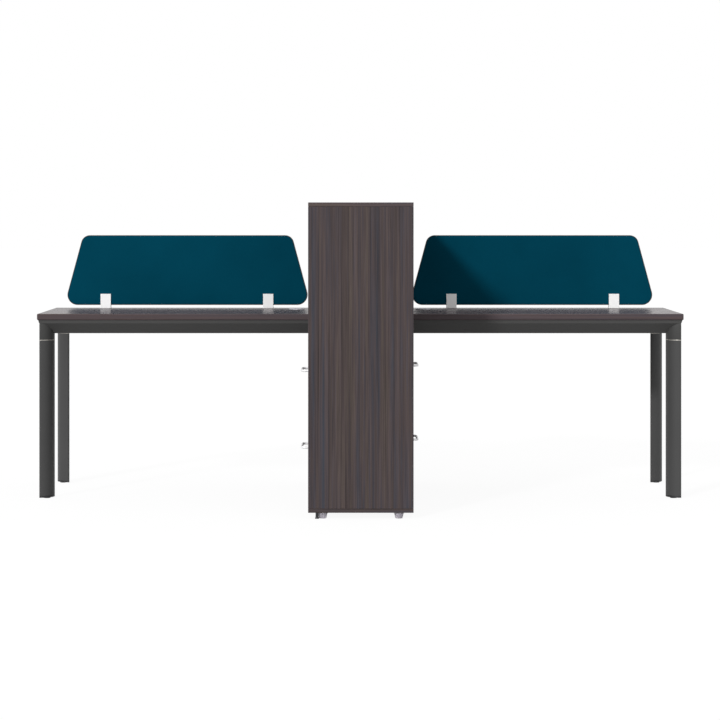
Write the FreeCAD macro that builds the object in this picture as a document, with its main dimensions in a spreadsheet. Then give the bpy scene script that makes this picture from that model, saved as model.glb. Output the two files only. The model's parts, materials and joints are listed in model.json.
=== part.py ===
import FreeCAD, Part

import math
import os

import Sketcher

# Double office workstation: one tall double-sided cabinet with a desk on each side of its rear half.
# Frame: origin on the floor under the middle of the cabinet, +X to the right-hand desk, +Y from the
# cabinet's front end to its rear end, +Z up. Lengths are in millimetres.

# Driving sizes. Each is written once, and every piece takes its size and place from them.
SIZES = {
    # Cabinet carcass
    "cabinet_width": 400.0,
    "front_half_depth": 600.0,
    "cabinet_height": 1200.0,
    "board_thick": 16.0,
    # Cabinet feet and corner glide
    "cabinet_foot_height": 23.0,
    "cabinet_foot_top_radius": 20.0,
    "cabinet_foot_floor_radius": 14.0,
    "cabinet_foot_side_inset": 55.0,
    "cabinet_foot_end_inset": 25.0,
    "glide_radius": 6.0,
    "glide_base_radius": 8.0,
    "glide_base_height": 6.0,
    "glide_side_inset": 34.0,
    "glide_end_inset": 9.0,
    # Drawers
    "drawer_gap": 3.0,
    "drawer_side_gap": 2.0,
    "drawer_front_height": 290.0,
    "drawer_box_lift": 20.0,
    "drawer_box_top_gap": 40.0,
    "drawer_back_gap": 28.0,
    "drawer_wall": 12.0,
    "drawer_bottom": 8.0,
    # Drawer runners
    "runner_height": 45.0,
    "runner_depth": 13.0,
    "runner_sheet": 1.5,
    "runner_lip": 7.0,
    "runner_play": 0.2,
    "runner_lift": 60.0,
    "runner_setback": 4.0,
    "runner_back_gap": 14.0,
    # Bow handles
    "handle_drop": 69.0,
    "handle_centres": 150.0,
    "handle_reach": 30.0,
    "handle_radius": 4.5,
    "handle_bend": 14.0,
    "handle_screw_radius": 2.0,
    "handle_screw_bite": 10.0,
    "handle_screw_head_radius": 4.0,
    "handle_screw_head": 2.5,
    # Shelves and shelf pins
    "adjustable_shelf_height": 942.0,
    "shelf_play": 1.0,
    "shelf_setback": 3.0,
    "pin_radius": 2.5,
    "pin_bore_depth": 7.5,
    "pin_reach": 8.0,
    "pin_side_inset": 50.0,
    "pin_pitch": 32.0,
    # Worktops
    "desk_height": 750.0,
    "desk_depth": 600.0,
    "worktop_length": 1112.0,
    "worktop_thick": 25.0,
    "worktop_corner_radius": 6.0,
    "worktop_edge_radius": 4.0,
    # Frame beams
    "beam_height": 56.0,
    "beam_lip_height": 13.5,
    "beam_lip_inset": 4.5,
    "beam_face_depth": 42.0,
    "beam_underside": 20.0,
    "beam_heel_radius": 3.0,
    "beam_wall": 2.5,
    "beam_gap": 0.5,
    "mitre_gap": 0.3,
    # Legs, corner castings, rings, caps and levelling feet
    "leg_inset": 8.5,
    "leg_width": 57.0,
    "leg_wall": 2.5,
    "leg_tip_radius": 4.0,
    "casting_skirt": 25.0,
    "ring_thick": 2.5,
    "ring_proud": 0.4,
    "spigot_length": 40.0,
    "spigot_play": 0.3,
    "cap_height": 7.0,
    "cap_spigot": 18.0,
    "leveller_disc_radius": 14.0,
    "leveller_disc_height": 3.0,
    "leveller_stem_radius": 4.0,
    "leveller_stem_length": 34.0,
    "leveller_play": 0.05,
    # Beam brackets on the cabinet
    "bracket_thick": 4.0,
    "bracket_ear": 45.0,
    "bracket_tongue": 60.0,
    "bracket_play": 1.0,
    "bracket_screw_radius": 3.0,
    "bracket_screw_bite": 12.0,
    "bracket_screw_head_radius": 6.5,
    "bracket_screw_head": 4.0,
    "bracket_screw_pitch": 24.0,
    # Screens and their shoes
    "screen_height": 300.0,
    "screen_thick": 20.0,
    "screen_slant": 81.0,
    "screen_top_radius": 38.0,
    "screen_foot_radius": 44.0,
    "screen_lift": 13.0,
    "screen_inner_gap": 11.5,
    "screen_outer_gap": 40.5,
    "screen_rear_gap": 20.0,
    "shoe_width": 44.0,
    "shoe_height": 61.0,
    "shoe_wall": 4.0,
    "shoe_play": 0.2,
    "inner_shoe_inset": 194.0,
    "outer_shoe_inset": 219.0,
    "clamp_screw_radius": 3.0,
    "clamp_screw_head_radius": 7.0,
    "clamp_screw_head": 4.0,
    "clamp_screw_lift": 40.0,
    "wood_screw_radius": 2.5,
    "wood_screw_bite": 14.0,
    "wood_screw_head_radius": 5.0,
    "wood_screw_head": 3.0,
    # Cable grommets
    "grommet_inset": 69.0,
    "grommet_rear_gap": 145.0,
    "grommet_sleeve_radius": 29.7,
    "grommet_hole_play": 0.3,
    "grommet_flange_radius": 34.0,
    "grommet_flange_height": 2.5,
    "grommet_wall": 2.0,
    "grommet_ledge": 3.0,
    "grommet_sleeve_length": 20.0,
    "grommet_cap_thick": 3.0,
    "grommet_cap_play": 0.2,
    "grommet_seat_play": 0.05,
    "cable_slot_width": 14.0,
    "cable_slot_length": 20.0,
    # Clearances shared by small fasteners
    "screw_play": 0.1,
    "cut_overrun": 5.0,
}

# Rows of pin bores above and below each adjustable shelf, in steps of the pin pitch.
PIN_ROWS = (-1, 0, 1)
# Rows of cabinet feet from the front end to the rear end, as shares of the way between them.
FOOT_ROW_SHARES = (0, 0.5, 1)
# How far an edge may stray from straight, as a share of its length.
STRAY_SHARE = 0.001

LEFT, RIGHT = -1, 1
FRONT, REAR = -1, 1

doc = FreeCAD.newDocument("Workstation")
nodes = []


class Dim:
    """A length: one cell of the sheet or a sum of cells, as an expression and as its present value."""

    def __init__(self, text, value):
        self.text = text
        self.value = value

    def join(self, sign, other, value):
        """Writes this length and another with a sign between them."""
        return Dim(f"({self.text} {sign} {other.text})", value)

    def __add__(self, other):
        other = as_dim(other)
        return self.join("+", other, self.value + other.value)

    def __sub__(self, other):
        other = as_dim(other)
        return self.join("-", other, self.value - other.value)

    def __mul__(self, other):
        other = as_dim(other)
        return self.join("*", other, self.value * other.value)

    def __truediv__(self, other):
        other = as_dim(other)
        return self.join("/", other, self.value / other.value)

    def __radd__(self, other):
        return as_dim(other) + self

    def __rsub__(self, other):
        return as_dim(other) - self

    def __rmul__(self, other):
        return as_dim(other) * self

    def __neg__(self):
        return Dim(f"(0 - {self.text})", -self.value)

    def root(self):
        """Gives the square root."""
        return Dim(f"sqrt({self.text})", math.sqrt(self.value))


def as_dim(number):
    """Gives a plain number the same form as a named length."""
    if isinstance(number, Dim):
        return number
    return Dim(repr(number), number)


class Sizes:
    """The sheet of driving sizes, with each cell read back as a length."""

    def __init__(self):
        sheet = doc.addObject("Spreadsheet::Sheet", "Sizes")
        for row, (alias, number) in enumerate(SIZES.items(), start=1):
            sheet.set(f"A{row}", alias)
            sheet.set(f"B{row}", str(number))
            sheet.setAlias(f"B{row}", alias)
        doc.recompute()
        for alias in SIZES:
            setattr(self, alias, Dim(f"Sizes.{alias}", float(sheet.get(alias))))


mm = Sizes()


# Making and placing pieces


def bind(thing, **lengths):
    """Ties properties of an object to sums of named sizes."""
    for name, length in lengths.items():
        thing.setExpression(name, as_dim(length).text)


def place(thing, x=0, y=0, z=0, turn=None):
    """Ties an object's position to sums of named sizes, with a fixed turn."""
    thing.Placement = FreeCAD.Placement(FreeCAD.Vector(), turn or FreeCAD.Rotation())
    for axis, length in (("x", x), ("y", y), ("z", z)):
        thing.setExpression(f"Placement.Base.{axis}", as_dim(length).text)


def board(name, x, y, z):
    """Adds a rectangular piece between a low and a high value on each axis."""
    piece = doc.addObject("Part::Box", name)
    bind(piece, Length=x[1] - x[0], Width=y[1] - y[0], Height=z[1] - z[0])
    place(piece, x[0], y[0], z[0])
    return piece


def rod(name, radius, x, y, z):
    """Adds a round piece along the one axis that is given as a low and a high value."""
    piece = doc.addObject("Part::Cylinder", name)
    turns = (
        FreeCAD.Rotation(FreeCAD.Vector(0, 1, 0), 90),
        FreeCAD.Rotation(FreeCAD.Vector(1, 0, 0), -90),
        FreeCAD.Rotation(),
    )
    axis = [isinstance(value, tuple) for value in (x, y, z)].index(True)
    span = (x, y, z)[axis]
    start = [value[0] if isinstance(value, tuple) else value for value in (x, y, z)]
    bind(piece, Radius=radius, Height=span[1] - span[0])
    place(piece, *start, turn=turns[axis])
    return piece


def cone(name, low_radius, high_radius, x, y, z):
    """Adds an upright tapered round piece between a low and a high z."""
    piece = doc.addObject("Part::Cone", name)
    bind(piece, Radius1=low_radius, Radius2=high_radius, Height=z[1] - z[0])
    place(piece, x, y, z[0])
    return piece


def group(name, pieces):
    """Keeps several separate solids under one name."""
    whole = doc.addObject("Part::Compound", name)
    whole.Links = pieces
    return whole


def fuse(name, pieces):
    """Joins several pieces into one solid."""
    whole = doc.addObject("Part::MultiFuse", name)
    whole.Shapes = pieces
    return whole


def cut(name, base, cutters):
    """Takes several round or rectangular pieces out of a base piece."""
    drilled = doc.addObject("Part::Cut", name)
    drilled.Base = base
    drilled.Tool = group(name + "_bores", cutters)
    return drilled


def keep(piece, label):
    """Gives a finished sub-part its own label and lists it."""
    piece.Label = label
    nodes.append(piece)
    return piece


def across(side, near, far):
    """Gives the x span of a piece on one side, from two distances off the middle plane."""
    if side == RIGHT:
        return near, far
    return -far, -near


def along(row, near, far):
    """Gives the y span of a desk piece, from two distances in from the desk's front or rear edge."""
    if row == FRONT:
        return desk_front + near, desk_front + far
    return desk_rear - far, desk_rear - near


def side_name(side):
    """Names a side of the workstation."""
    return "left" if side == LEFT else "right"


def row_name(row):
    """Names the front or the rear of a desk."""
    return "front" if row == FRONT else "rear"


# Sketches and features


def new_body(name):
    """Adds a body that will hold sketched features."""
    return doc.addObject("PartDesign::Body", name)


def new_sketch(body, name, role):
    """Adds a sketch on one of the body's own origin planes."""
    plane = [item for item in body.Origin.OriginFeatures if item.Role == role][0]
    sketch = body.newObject("Sketcher::SketchObject", name)
    sketch.AttachmentSupport = [(plane, "")]
    sketch.MapMode = "FlatFace"
    return sketch


def pin_point(sketch, edge, end, point):
    """Fixes one end of an edge by its two distances from the sketch's origin."""
    for kind, length in zip(("DistanceX", "DistanceY"), point):
        length = as_dim(length)
        number = sketch.addConstraint(Sketcher.Constraint(kind, -1, 1, edge, end, length.value))
        sketch.setExpression(f"Constraints[{number}]", length.text)


def set_radius(sketch, edge, radius):
    """Fixes the radius of an arc or a circle."""
    number = sketch.addConstraint(Sketcher.Constraint("Radius", edge, radius.value))
    sketch.setExpression(f"Constraints[{number}]", radius.text)


def flat_point(point):
    """Gives the present place of a sketch point."""
    return FreeCAD.Vector(as_dim(point[0]).value, as_dim(point[1]).value, 0)


def bend_middle(start, end, radius, turn):
    """Gives the middle of an arc whose centre lies left (+1) or right (-1) of the way to its end."""
    chord = end - start
    half = chord.Length / 2
    normal = FreeCAD.Vector(-chord.y, chord.x, 0).normalize() * turn
    depth = math.sqrt(radius * radius - half * half)
    return (start + end) / 2 + normal * (depth - radius)


def draw_edges(sketch, corners, bends, closed):
    """Adds the lines and arcs of an outline, each end fixed by named sizes."""
    count = len(corners) if closed else len(corners) - 1
    ends = []
    for index in range(count):
        start = flat_point(corners[index])
        end = flat_point(corners[(index + 1) % len(corners)])
        if index in bends:
            radius, turn = bends[index]
            middle = bend_middle(start, end, radius.value, turn)
            edge = sketch.addGeometry(Part.Arc(start, middle, end), False)
            set_radius(sketch, edge, radius)
            first, second = [(sketch.getPoint(edge, end) - start).Length for end in (1, 2)]
            ends.append((edge, 2, 1) if first > second else (edge, 1, 2))
        else:
            edge = sketch.addGeometry(Part.LineSegment(start, end), False)
            ends.append((edge, 1, 2))
    for index, (edge, first, last) in enumerate(ends):
        pin_point(sketch, edge, first, corners[index])
        if closed or index + 1 < count:
            after = ends[(index + 1) % count]
            sketch.addConstraint(Sketcher.Constraint("Coincident", edge, last, after[0], after[1]))
        else:
            pin_point(sketch, edge, last, corners[-1])


def draw(sketch, corners, bends=None):
    """Draws a closed outline; bends maps a side's number to its radius and turn."""
    draw_edges(sketch, corners, bends or {}, closed=True)


def draw_path(sketch, corners, bends=None):
    """Draws an open path of lines and arcs."""
    draw_edges(sketch, corners, bends or {}, closed=False)


def draw_circle(sketch, centre, radius):
    """Draws a circle about a point fixed by named sizes."""
    circle = Part.Circle(flat_point(centre), FreeCAD.Vector(0, 0, 1), radius.value)
    edge = sketch.addGeometry(circle, False)
    set_radius(sketch, edge, radius)
    pin_point(sketch, edge, 3, centre)


def rectangle(low, high):
    """Lists the corners of an upright rectangle."""
    return [(low[0], low[1]), (high[0], low[1]), (high[0], high[1]), (low[0], high[1])]


def pad(body, name, sketch, length, side="One side", reverse=False):
    """Adds material to a sketch's outline."""
    feature = body.newObject("PartDesign::Pad", name)
    feature.Profile = sketch
    feature.SideType = side
    feature.Reversed = reverse
    bind(feature, Length=length)
    return feature


def pocket(body, name, sketch, length, side="One side", reverse=False):
    """Cuts a sketch's outline out of the body."""
    feature = body.newObject("PartDesign::Pocket", name)
    feature.Profile = sketch
    feature.SideType = side
    feature.Reversed = reverse
    bind(feature, Length=length)
    return feature


def revolve(body, name, sketch):
    """Turns a sketch's outline about the sketch's upright axis."""
    feature = body.newObject("PartDesign::Revolution", name)
    feature.Profile = sketch
    feature.ReferenceAxis = (sketch, ["V_Axis"])
    return feature


def round_edges(body, name, base, wanted, radius):
    """Rounds those edges of a feature that a test picks out."""
    doc.recompute()
    edges = enumerate(base.Shape.Edges, start=1)
    names = [f"Edge{number}" for number, edge in edges if wanted(edge)]
    feature = body.newObject("PartDesign::Fillet", name)
    feature.Base = (base, names)
    bind(feature, Radius=radius)
    return feature


def is_upright(edge):
    """Tells whether an edge runs straight up."""
    return abs(edge.BoundBox.ZLength - edge.Length) < STRAY_SHARE * edge.Length


# Places that several pieces share
half_width = mm.cabinet_width / 2
cabinet_depth = mm.front_half_depth + mm.desk_depth
cabinet_front = -cabinet_depth / 2
cabinet_rear = cabinet_depth / 2
base_top = mm.cabinet_foot_height + mm.board_thick
top_under = mm.cabinet_height - mm.board_thick
closed_face = half_width - mm.board_thick
desk_rear = cabinet_rear
desk_front = desk_rear - mm.desk_depth
worktop_under = mm.desk_height - mm.worktop_thick
worktop_end = half_width + mm.worktop_length
worktop_shelf_under = mm.desk_height - mm.board_thick

# The cabinet's halves meet in the middle of the upright that stands at the desks' front edges
COLUMNS_PER_HALF = 2
BOARDS_PER_HALF = COLUMNS_PER_HALF + 0.5
front_column = (mm.front_half_depth - BOARDS_PER_HALF * mm.board_thick) / COLUMNS_PER_HALF
rear_column = (mm.desk_depth - BOARDS_PER_HALF * mm.board_thick) / COLUMNS_PER_HALF


def upright_span(number):
    """Gives the y span of an upright board, from 0 at the front end panel to 4 at the rear one."""
    if number <= COLUMNS_PER_HALF:
        low = cabinet_front + number * (front_column + mm.board_thick)
    else:
        steps = number - COLUMNS_PER_HALF
        low = desk_front - mm.board_thick / 2 + steps * (rear_column + mm.board_thick)
    return low, low + mm.board_thick


def column_span(number):
    """Gives the clear y span of a column, from 1 at the front to 4 at the rear."""
    return upright_span(number - 1)[1], upright_span(number)[0]


def open_side(number):
    """Tells which side a column opens to: they alternate from the front end."""
    return LEFT if number % 2 else RIGHT


COLUMNS = (1, 2, 3, 4)
DRAWER_COLUMNS = (1, 2)
DESK_COLUMNS = (3, 4)
DRAWER_LEVELS = ("lower", "upper")
drawer_pitch = mm.drawer_front_height + mm.drawer_gap
drawer_bay_top = base_top + mm.drawer_gap + len(DRAWER_LEVELS) * drawer_pitch
drawer_box_length = 2 * closed_face - mm.drawer_back_gap
drawer_box_height = mm.drawer_front_height - mm.drawer_box_lift - mm.drawer_box_top_gap
runner_length = 2 * closed_face - mm.runner_setback - mm.runner_back_gap


# Cabinet carcass


def make_top_and_base():
    """Builds the two boards that cover the cabinet above and below."""
    full_x = (-half_width, half_width)
    full_y = (cabinet_front, cabinet_rear)
    keep(board("top_board", full_x, full_y, (top_under, mm.cabinet_height)), "cabinet_top")
    keep(board("base_board", full_x, full_y, (mm.cabinet_foot_height, base_top)), "cabinet_base")


def pin_rows_x():
    """Lists the two x places of the shelf pins."""
    reach = half_width - mm.pin_side_inset
    return -reach, reach


pin_height = mm.adjustable_shelf_height - mm.pin_radius - mm.screw_play


def pin_bores(name, face, inward):
    """Adds the bores of one face of an upright; inward is +1 where the board lies at higher y."""
    if inward > 0:
        span = (face - mm.cut_overrun, face + mm.pin_bore_depth)
    else:
        span = (face - mm.pin_bore_depth, face + mm.cut_overrun)
    bores = []
    for column, x in enumerate(pin_rows_x()):
        for row in PIN_ROWS:
            z = pin_height + row * mm.pin_pitch
            bore = rod(f"{name}_{column}_{row + 1}", mm.pin_radius + mm.screw_play, x, span, z)
            bores.append(bore)
    return bores


def make_uprights():
    """Builds the end panels and the uprights between the columns, with their pin bores."""
    labels = ("front_end_panel", "front_divider", "middle_divider", "rear_divider", "rear_end_panel")
    for number, label in enumerate(labels):
        span = upright_span(number)
        blank = board(label + "_board", (-half_width, half_width), span, (base_top, top_under))
        bores = []
        if number > 0:
            bores += pin_bores(label + "_front_bore", span[0], 1)
        if number + 1 < len(labels):
            bores += pin_bores(label + "_rear_bore", span[1], -1)
        keep(cut(label + "_drilled", blank, bores), label)


def bracket_screw_places(row):
    """Lists the y and z places of a bracket's two screws."""
    low, high = along(row, bracket_front, beam_depth + mm.bracket_ear)
    inner = high - mm.bracket_ear / 2 if row == FRONT else low + mm.bracket_ear / 2
    middle = worktop_under - mm.beam_height / 2
    return [(inner, middle + step * mm.bracket_screw_pitch / 2) for step in (-1, 1)]


def make_side_panels():
    """Builds the boards that close the columns' backs and the open columns below worktop height."""
    for side in (LEFT, RIGHT):
        pieces = []
        for number in COLUMNS:
            top = top_under
            if open_side(number) == side:
                if number in DRAWER_COLUMNS:
                    continue
                top = worktop_shelf_under
            name = f"{side_name(side)}_panel_{number}"
            x = across(side, closed_face, half_width)
            blank = board(name, x, column_span(number), (base_top, top))
            pieces.append(drill_for_bracket(blank, name, side, number))
        keep(group(f"{side_name(side)}_panels", pieces), f"{side_name(side)}_side_panels")


def drill_for_bracket(blank, name, side, number):
    """Bores a rear side panel for the screws of the beam bracket that it carries."""
    if number not in DESK_COLUMNS:
        return blank
    row = FRONT if number == DESK_COLUMNS[0] else REAR
    depth = mm.bracket_screw_bite + mm.screw_play
    x = across(side, half_width - depth, half_width + mm.cut_overrun)
    radius = mm.bracket_screw_radius + mm.screw_play
    bores = [
        rod(f"{name}_screw_bore_{index}", radius, x, y, z)
        for index, (y, z) in enumerate(bracket_screw_places(row))
    ]
    return cut(name + "_bored", blank, bores)


def shelf_board(name, number, z, play=0, setback=0):
    """Adds a shelf in one column, from its closed side to its open side."""
    side = open_side(number)
    low, high = column_span(number)
    x = across(side, -closed_face + play, half_width - setback)
    return board(name, x, (low + play, high - play), z)


def make_shelves():
    """Builds the fixed shelves, the adjustable shelves and the pins that carry these."""
    bay_z = (drawer_bay_top, drawer_bay_top + mm.board_thick)
    desk_z = (worktop_shelf_under, mm.desk_height)
    loose_z = (mm.adjustable_shelf_height, mm.adjustable_shelf_height + mm.board_thick)
    bay = [shelf_board(f"bay_shelf_{number}", number, bay_z) for number in DRAWER_COLUMNS]
    desk = [shelf_board(f"desk_shelf_{number}", number, desk_z) for number in DESK_COLUMNS]
    loose = [
        shelf_board(f"loose_shelf_{number}", number, loose_z, mm.shelf_play, mm.shelf_setback)
        for number in COLUMNS
    ]
    keep(group("bay_shelves", bay), "drawer_bay_shelves")
    keep(group("desk_shelves", desk), "worktop_level_shelves")
    keep(group("loose_shelves", loose), "adjustable_shelves")
    pins = []
    for number in COLUMNS:
        low, high = column_span(number)
        for index, x in enumerate(pin_rows_x()):
            front = (low - mm.pin_bore_depth + mm.screw_play, low + mm.pin_reach)
            rear = (high - mm.pin_reach, high + mm.pin_bore_depth - mm.screw_play)
            pins.append(rod(f"pin_{number}_{index}_front", mm.pin_radius, x, front, pin_height))
            pins.append(rod(f"pin_{number}_{index}_rear", mm.pin_radius, x, rear, pin_height))
    keep(group("pins", pins), "shelf_pins")


def make_cabinet_feet():
    """Builds the tapered feet and the small glide at the front left corner."""
    feet = []
    first = cabinet_front + mm.cabinet_foot_end_inset
    way = cabinet_depth - 2 * mm.cabinet_foot_end_inset
    height = (as_dim(0), mm.cabinet_foot_height)
    for share in FOOT_ROW_SHARES:
        for side in (LEFT, RIGHT):
            x = side * (half_width - mm.cabinet_foot_side_inset)
            name = f"foot_{side_name(side)}_{len(feet)}"
            radii = (mm.cabinet_foot_floor_radius, mm.cabinet_foot_top_radius)
            feet.append(cone(name, *radii, x, first + share * way, height))
    keep(group("feet", feet), "cabinet_feet")
    x = mm.glide_side_inset - half_width
    y = cabinet_front + mm.glide_end_inset
    base_z = (as_dim(0), mm.glide_base_height)
    base = cone("glide_base", mm.glide_base_radius, mm.glide_radius, x, y, base_z)
    stem = rod("glide_stem", mm.glide_radius, x, y, (mm.glide_base_height, mm.cabinet_foot_height))
    keep(fuse("glide", [base, stem]), "corner_glide")


# Drawers


def drawer_names():
    """Lists the drawers as column, level number and name."""
    return [
        (number, level, f"{DRAWER_LEVELS[level]}_{side_name(open_side(number))}")
        for number in DRAWER_COLUMNS
        for level in range(len(DRAWER_LEVELS))
    ]


def front_bottom(level):
    """Gives the height of a drawer front's lower edge."""
    return base_top + mm.drawer_gap + level * drawer_pitch


def handle_middle(level):
    """Gives the height of a handle's centre line."""
    return front_bottom(level) + mm.drawer_front_height - mm.handle_drop


def handle_screw_places(number):
    """Lists the y places of a handle's two screws."""
    low, high = column_span(number)
    middle = (low + high) / 2
    return middle - mm.handle_centres / 2, middle + mm.handle_centres / 2


def handle_bores(name, number, level):
    """Adds the two bores through a drawer's front wall for the handle screws."""
    side = open_side(number)
    z = handle_middle(level)
    inner = half_width - mm.board_thick - mm.drawer_wall - mm.cut_overrun
    x = across(side, inner, half_width + mm.cut_overrun)
    radius = mm.handle_screw_radius + mm.screw_play
    places = enumerate(handle_screw_places(number))
    return [rod(f"{name}_{index}", radius, x, y, z) for index, y in places]


def make_drawer_front(number, level, name):
    """Builds a drawer's visible front, bored for its handle."""
    low, high = column_span(number)
    bottom = front_bottom(level)
    x = across(open_side(number), closed_face, half_width)
    y = (low + mm.drawer_side_gap, high - mm.drawer_side_gap)
    blank = board(name + "_front_board", x, y, (bottom, bottom + mm.drawer_front_height))
    bores = handle_bores(name + "_front_bore", number, level)
    keep(cut(name + "_front_drilled", blank, bores), name + "_drawer_front")


def make_drawer_box(number, level, name):
    """Builds a drawer's open-topped box from its five boards, with the handle screws' bores."""
    side = open_side(number)
    low, high = column_span(number)
    wall = mm.drawer_wall
    back = closed_face - drawer_box_length
    front = closed_face
    y = (low + mm.runner_depth, high - mm.runner_depth)
    inner_y = (y[0] + wall, y[1] - wall)
    bottom = front_bottom(level) + mm.drawer_box_lift
    z = (bottom, bottom + drawer_box_height)
    floor_z = (bottom, bottom + mm.drawer_bottom)
    front_wall = board(name + "_box_front", across(side, front - wall, front), inner_y, z)
    boards = [
        board(name + "_box_near_side", across(side, back, front), (y[0], inner_y[0]), z),
        board(name + "_box_far_side", across(side, back, front), (inner_y[1], y[1]), z),
        board(name + "_box_back", across(side, back, back + wall), inner_y, z),
        board(name + "_box_floor", across(side, back + wall, front - wall), inner_y, floor_z),
        cut(name + "_box_drilled", front_wall, handle_bores(name + "_box_bore", number, level)),
    ]
    keep(group(name + "_box_boards", boards), name + "_drawer_box")


def make_handle(number, level, name):
    """Builds a bow handle as a bent rod, with the two screws that hold it."""
    side = open_side(number)
    z = handle_middle(level)
    places = handle_screw_places(number)
    half = mm.handle_centres / 2
    reach = mm.handle_reach - mm.handle_radius
    bend = mm.handle_bend
    body = new_body(name + "_bow_body")
    turn = FreeCAD.Rotation(FreeCAD.Vector(0, 0, 1), 0 if side == RIGHT else 180)
    place(body, side * half_width, (places[0] + places[1]) / 2, z, turn)
    path = new_sketch(body, name + "_bow_path", "XY_Plane")
    corners = [
        (as_dim(0), -half),
        (reach - bend, -half),
        (reach, bend - half),
        (reach, half - bend),
        (reach - bend, half),
        (as_dim(0), half),
    ]
    draw_path(path, corners, {1: (bend, 1), 3: (bend, 1)})
    section = new_sketch(body, name + "_bow_section", "YZ_Plane")
    draw_circle(section, (-half, as_dim(0)), mm.handle_radius)
    bow = body.newObject("PartDesign::AdditivePipe", name + "_bow_rod")
    bow.Profile = section
    bow.Spine = path
    depth = mm.handle_screw_bite + mm.screw_play
    bite = across(side, half_width - mm.cut_overrun, half_width + depth)
    radius = mm.handle_screw_radius + mm.screw_play
    bores = [
        rod(f"{name}_bow_bore_{index}", radius, bite, y, z) for index, y in enumerate(places)
    ]
    pieces = [cut(name + "_bow_tapped", body, bores)]
    inner = half_width - mm.board_thick - mm.drawer_wall
    for index, y in enumerate(places):
        shank_x = across(side, inner, half_width + mm.handle_screw_bite)
        head_x = across(side, inner - mm.handle_screw_head, inner)
        shank = rod(f"{name}_shank_{index}", mm.handle_screw_radius, shank_x, y, z)
        head = rod(f"{name}_head_{index}", mm.handle_screw_head_radius, head_x, y, z)
        pieces.append(fuse(f"{name}_handle_screw_{index}", [shank, head]))
    keep(group(name + "_handle_set", pieces), name + "_handle")


def runner_middle(level):
    """Gives the height of a runner's centre line."""
    return front_bottom(level) + mm.drawer_box_lift + mm.runner_lift


def make_fixed_runner(number, level, row, name):
    """Builds the channel that is screwed to an upright beside a drawer."""
    low, high = column_span(number)
    side = open_side(number)
    body = new_body(name + "_body")
    far = closed_face - mm.runner_setback
    place(body, side * far, low if row == FRONT else high, runner_middle(level))
    section = new_sketch(body, name + "_section", "YZ_Plane")
    half = mm.runner_height / 2
    sheet = mm.runner_sheet
    depth = (mm.runner_depth - mm.runner_play) * -row
    web = sheet * -row
    corners = [
        (as_dim(0), -half),
        (depth, -half),
        (depth, mm.runner_lip - half),
        (depth - web, mm.runner_lip - half),
        (depth - web, sheet - half),
        (web, sheet - half),
        (web, half - sheet),
        (depth - web, half - sheet),
        (depth - web, half - mm.runner_lip),
        (depth, half - mm.runner_lip),
        (depth, half),
        (as_dim(0), half),
    ]
    draw(section, corners)
    pad(body, name + "_channel", section, runner_length, reverse=side == RIGHT)
    return body


def make_moving_runner(number, level, row, name):
    """Builds the bar on a drawer's side that slides in the fixed channel."""
    low, high = column_span(number)
    side = open_side(number)
    body = new_body(name + "_body")
    far = closed_face
    place(body, side * far, low if row == FRONT else high, runner_middle(level))
    section = new_sketch(body, name + "_section", "YZ_Plane")
    wide = mm.runner_height / 2 - mm.runner_sheet - mm.runner_play
    narrow = mm.runner_height / 2 - mm.runner_lip - mm.runner_play
    inner = (mm.runner_sheet + mm.runner_play) * -row
    neck = (mm.runner_depth - mm.runner_sheet - 2 * mm.runner_play) * -row
    outer = mm.runner_depth * -row
    corners = [
        (inner, -wide),
        (neck, -wide),
        (neck, -narrow),
        (outer, -narrow),
        (outer, narrow),
        (neck, narrow),
        (neck, wide),
        (inner, wide),
    ]
    draw(section, corners)
    pad(body, name + "_bar", section, drawer_box_length, reverse=side == RIGHT)
    return body


def make_drawers():
    """Builds the four drawers and the runners that carry them."""
    channels = []
    for number, level, name in drawer_names():
        make_drawer_front(number, level, name)
        make_drawer_box(number, level, name)
        make_handle(number, level, name)
        bars = []
        for row in (FRONT, REAR):
            channel = f"{name}_channel_{row_name(row)}"
            channels.append(make_fixed_runner(number, level, row, channel))
            bars.append(make_moving_runner(number, level, row, f"{name}_bar_{row_name(row)}"))
        keep(group(name + "_bars", bars), name + "_drawer_runners")
    keep(group("channels", channels), "cabinet_runners")


# Desk frame: a beam's section is drawn as depth in from the worktop's edge and height off its underside
face_height = mm.beam_height - mm.beam_lip_height
face_length = (mm.beam_face_depth * mm.beam_face_depth + face_height * face_height).root()
beam_depth = mm.leg_inset + mm.beam_face_depth + mm.beam_underside
bracket_front = mm.leg_inset + mm.beam_face_depth / 2


def draw_beam_section(sketch):
    """Draws the hollow beam's outer and inner outlines, a wall apart."""
    wall = mm.beam_wall
    outer = [
        (mm.beam_lip_inset, as_dim(0)),
        (mm.leg_inset, -mm.beam_lip_height),
        (mm.leg_inset + mm.beam_face_depth, -mm.beam_height),
        (beam_depth, -mm.beam_height),
        (beam_depth, as_dim(0)),
    ]
    draw(sketch, outer)
    face_start = -mm.beam_lip_height + wall * (face_length - face_height) / mm.beam_face_depth
    face_end = mm.leg_inset + mm.beam_face_depth + wall * (face_length - mm.beam_face_depth) / face_height
    inner = [
        (mm.leg_inset + wall, -wall),
        (mm.leg_inset + wall, face_start),
        (face_end, wall - mm.beam_height),
        (beam_depth - wall, wall - mm.beam_height),
        (beam_depth - wall, -wall),
    ]
    draw(sketch, inner)


def is_heel_edge(edge):
    """Tells whether an edge runs along the outside of a beam's underside."""
    height = edge.BoundBox.YMax + mm.beam_height.value
    return is_upright(edge) and height < mm.beam_wall.value / 2


def pad_beam(body, name, length, **way):
    """Draws a beam's tube along its section and rounds its two lower edges."""
    section = new_sketch(body, name + "_section", "XY_Plane")
    draw_beam_section(section)
    tube = pad(body, name + "_tube", section, length, **way)
    body.Tip = round_edges(body, name + "_heels", tube, is_heel_edge, mm.beam_heel_radius)


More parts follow.
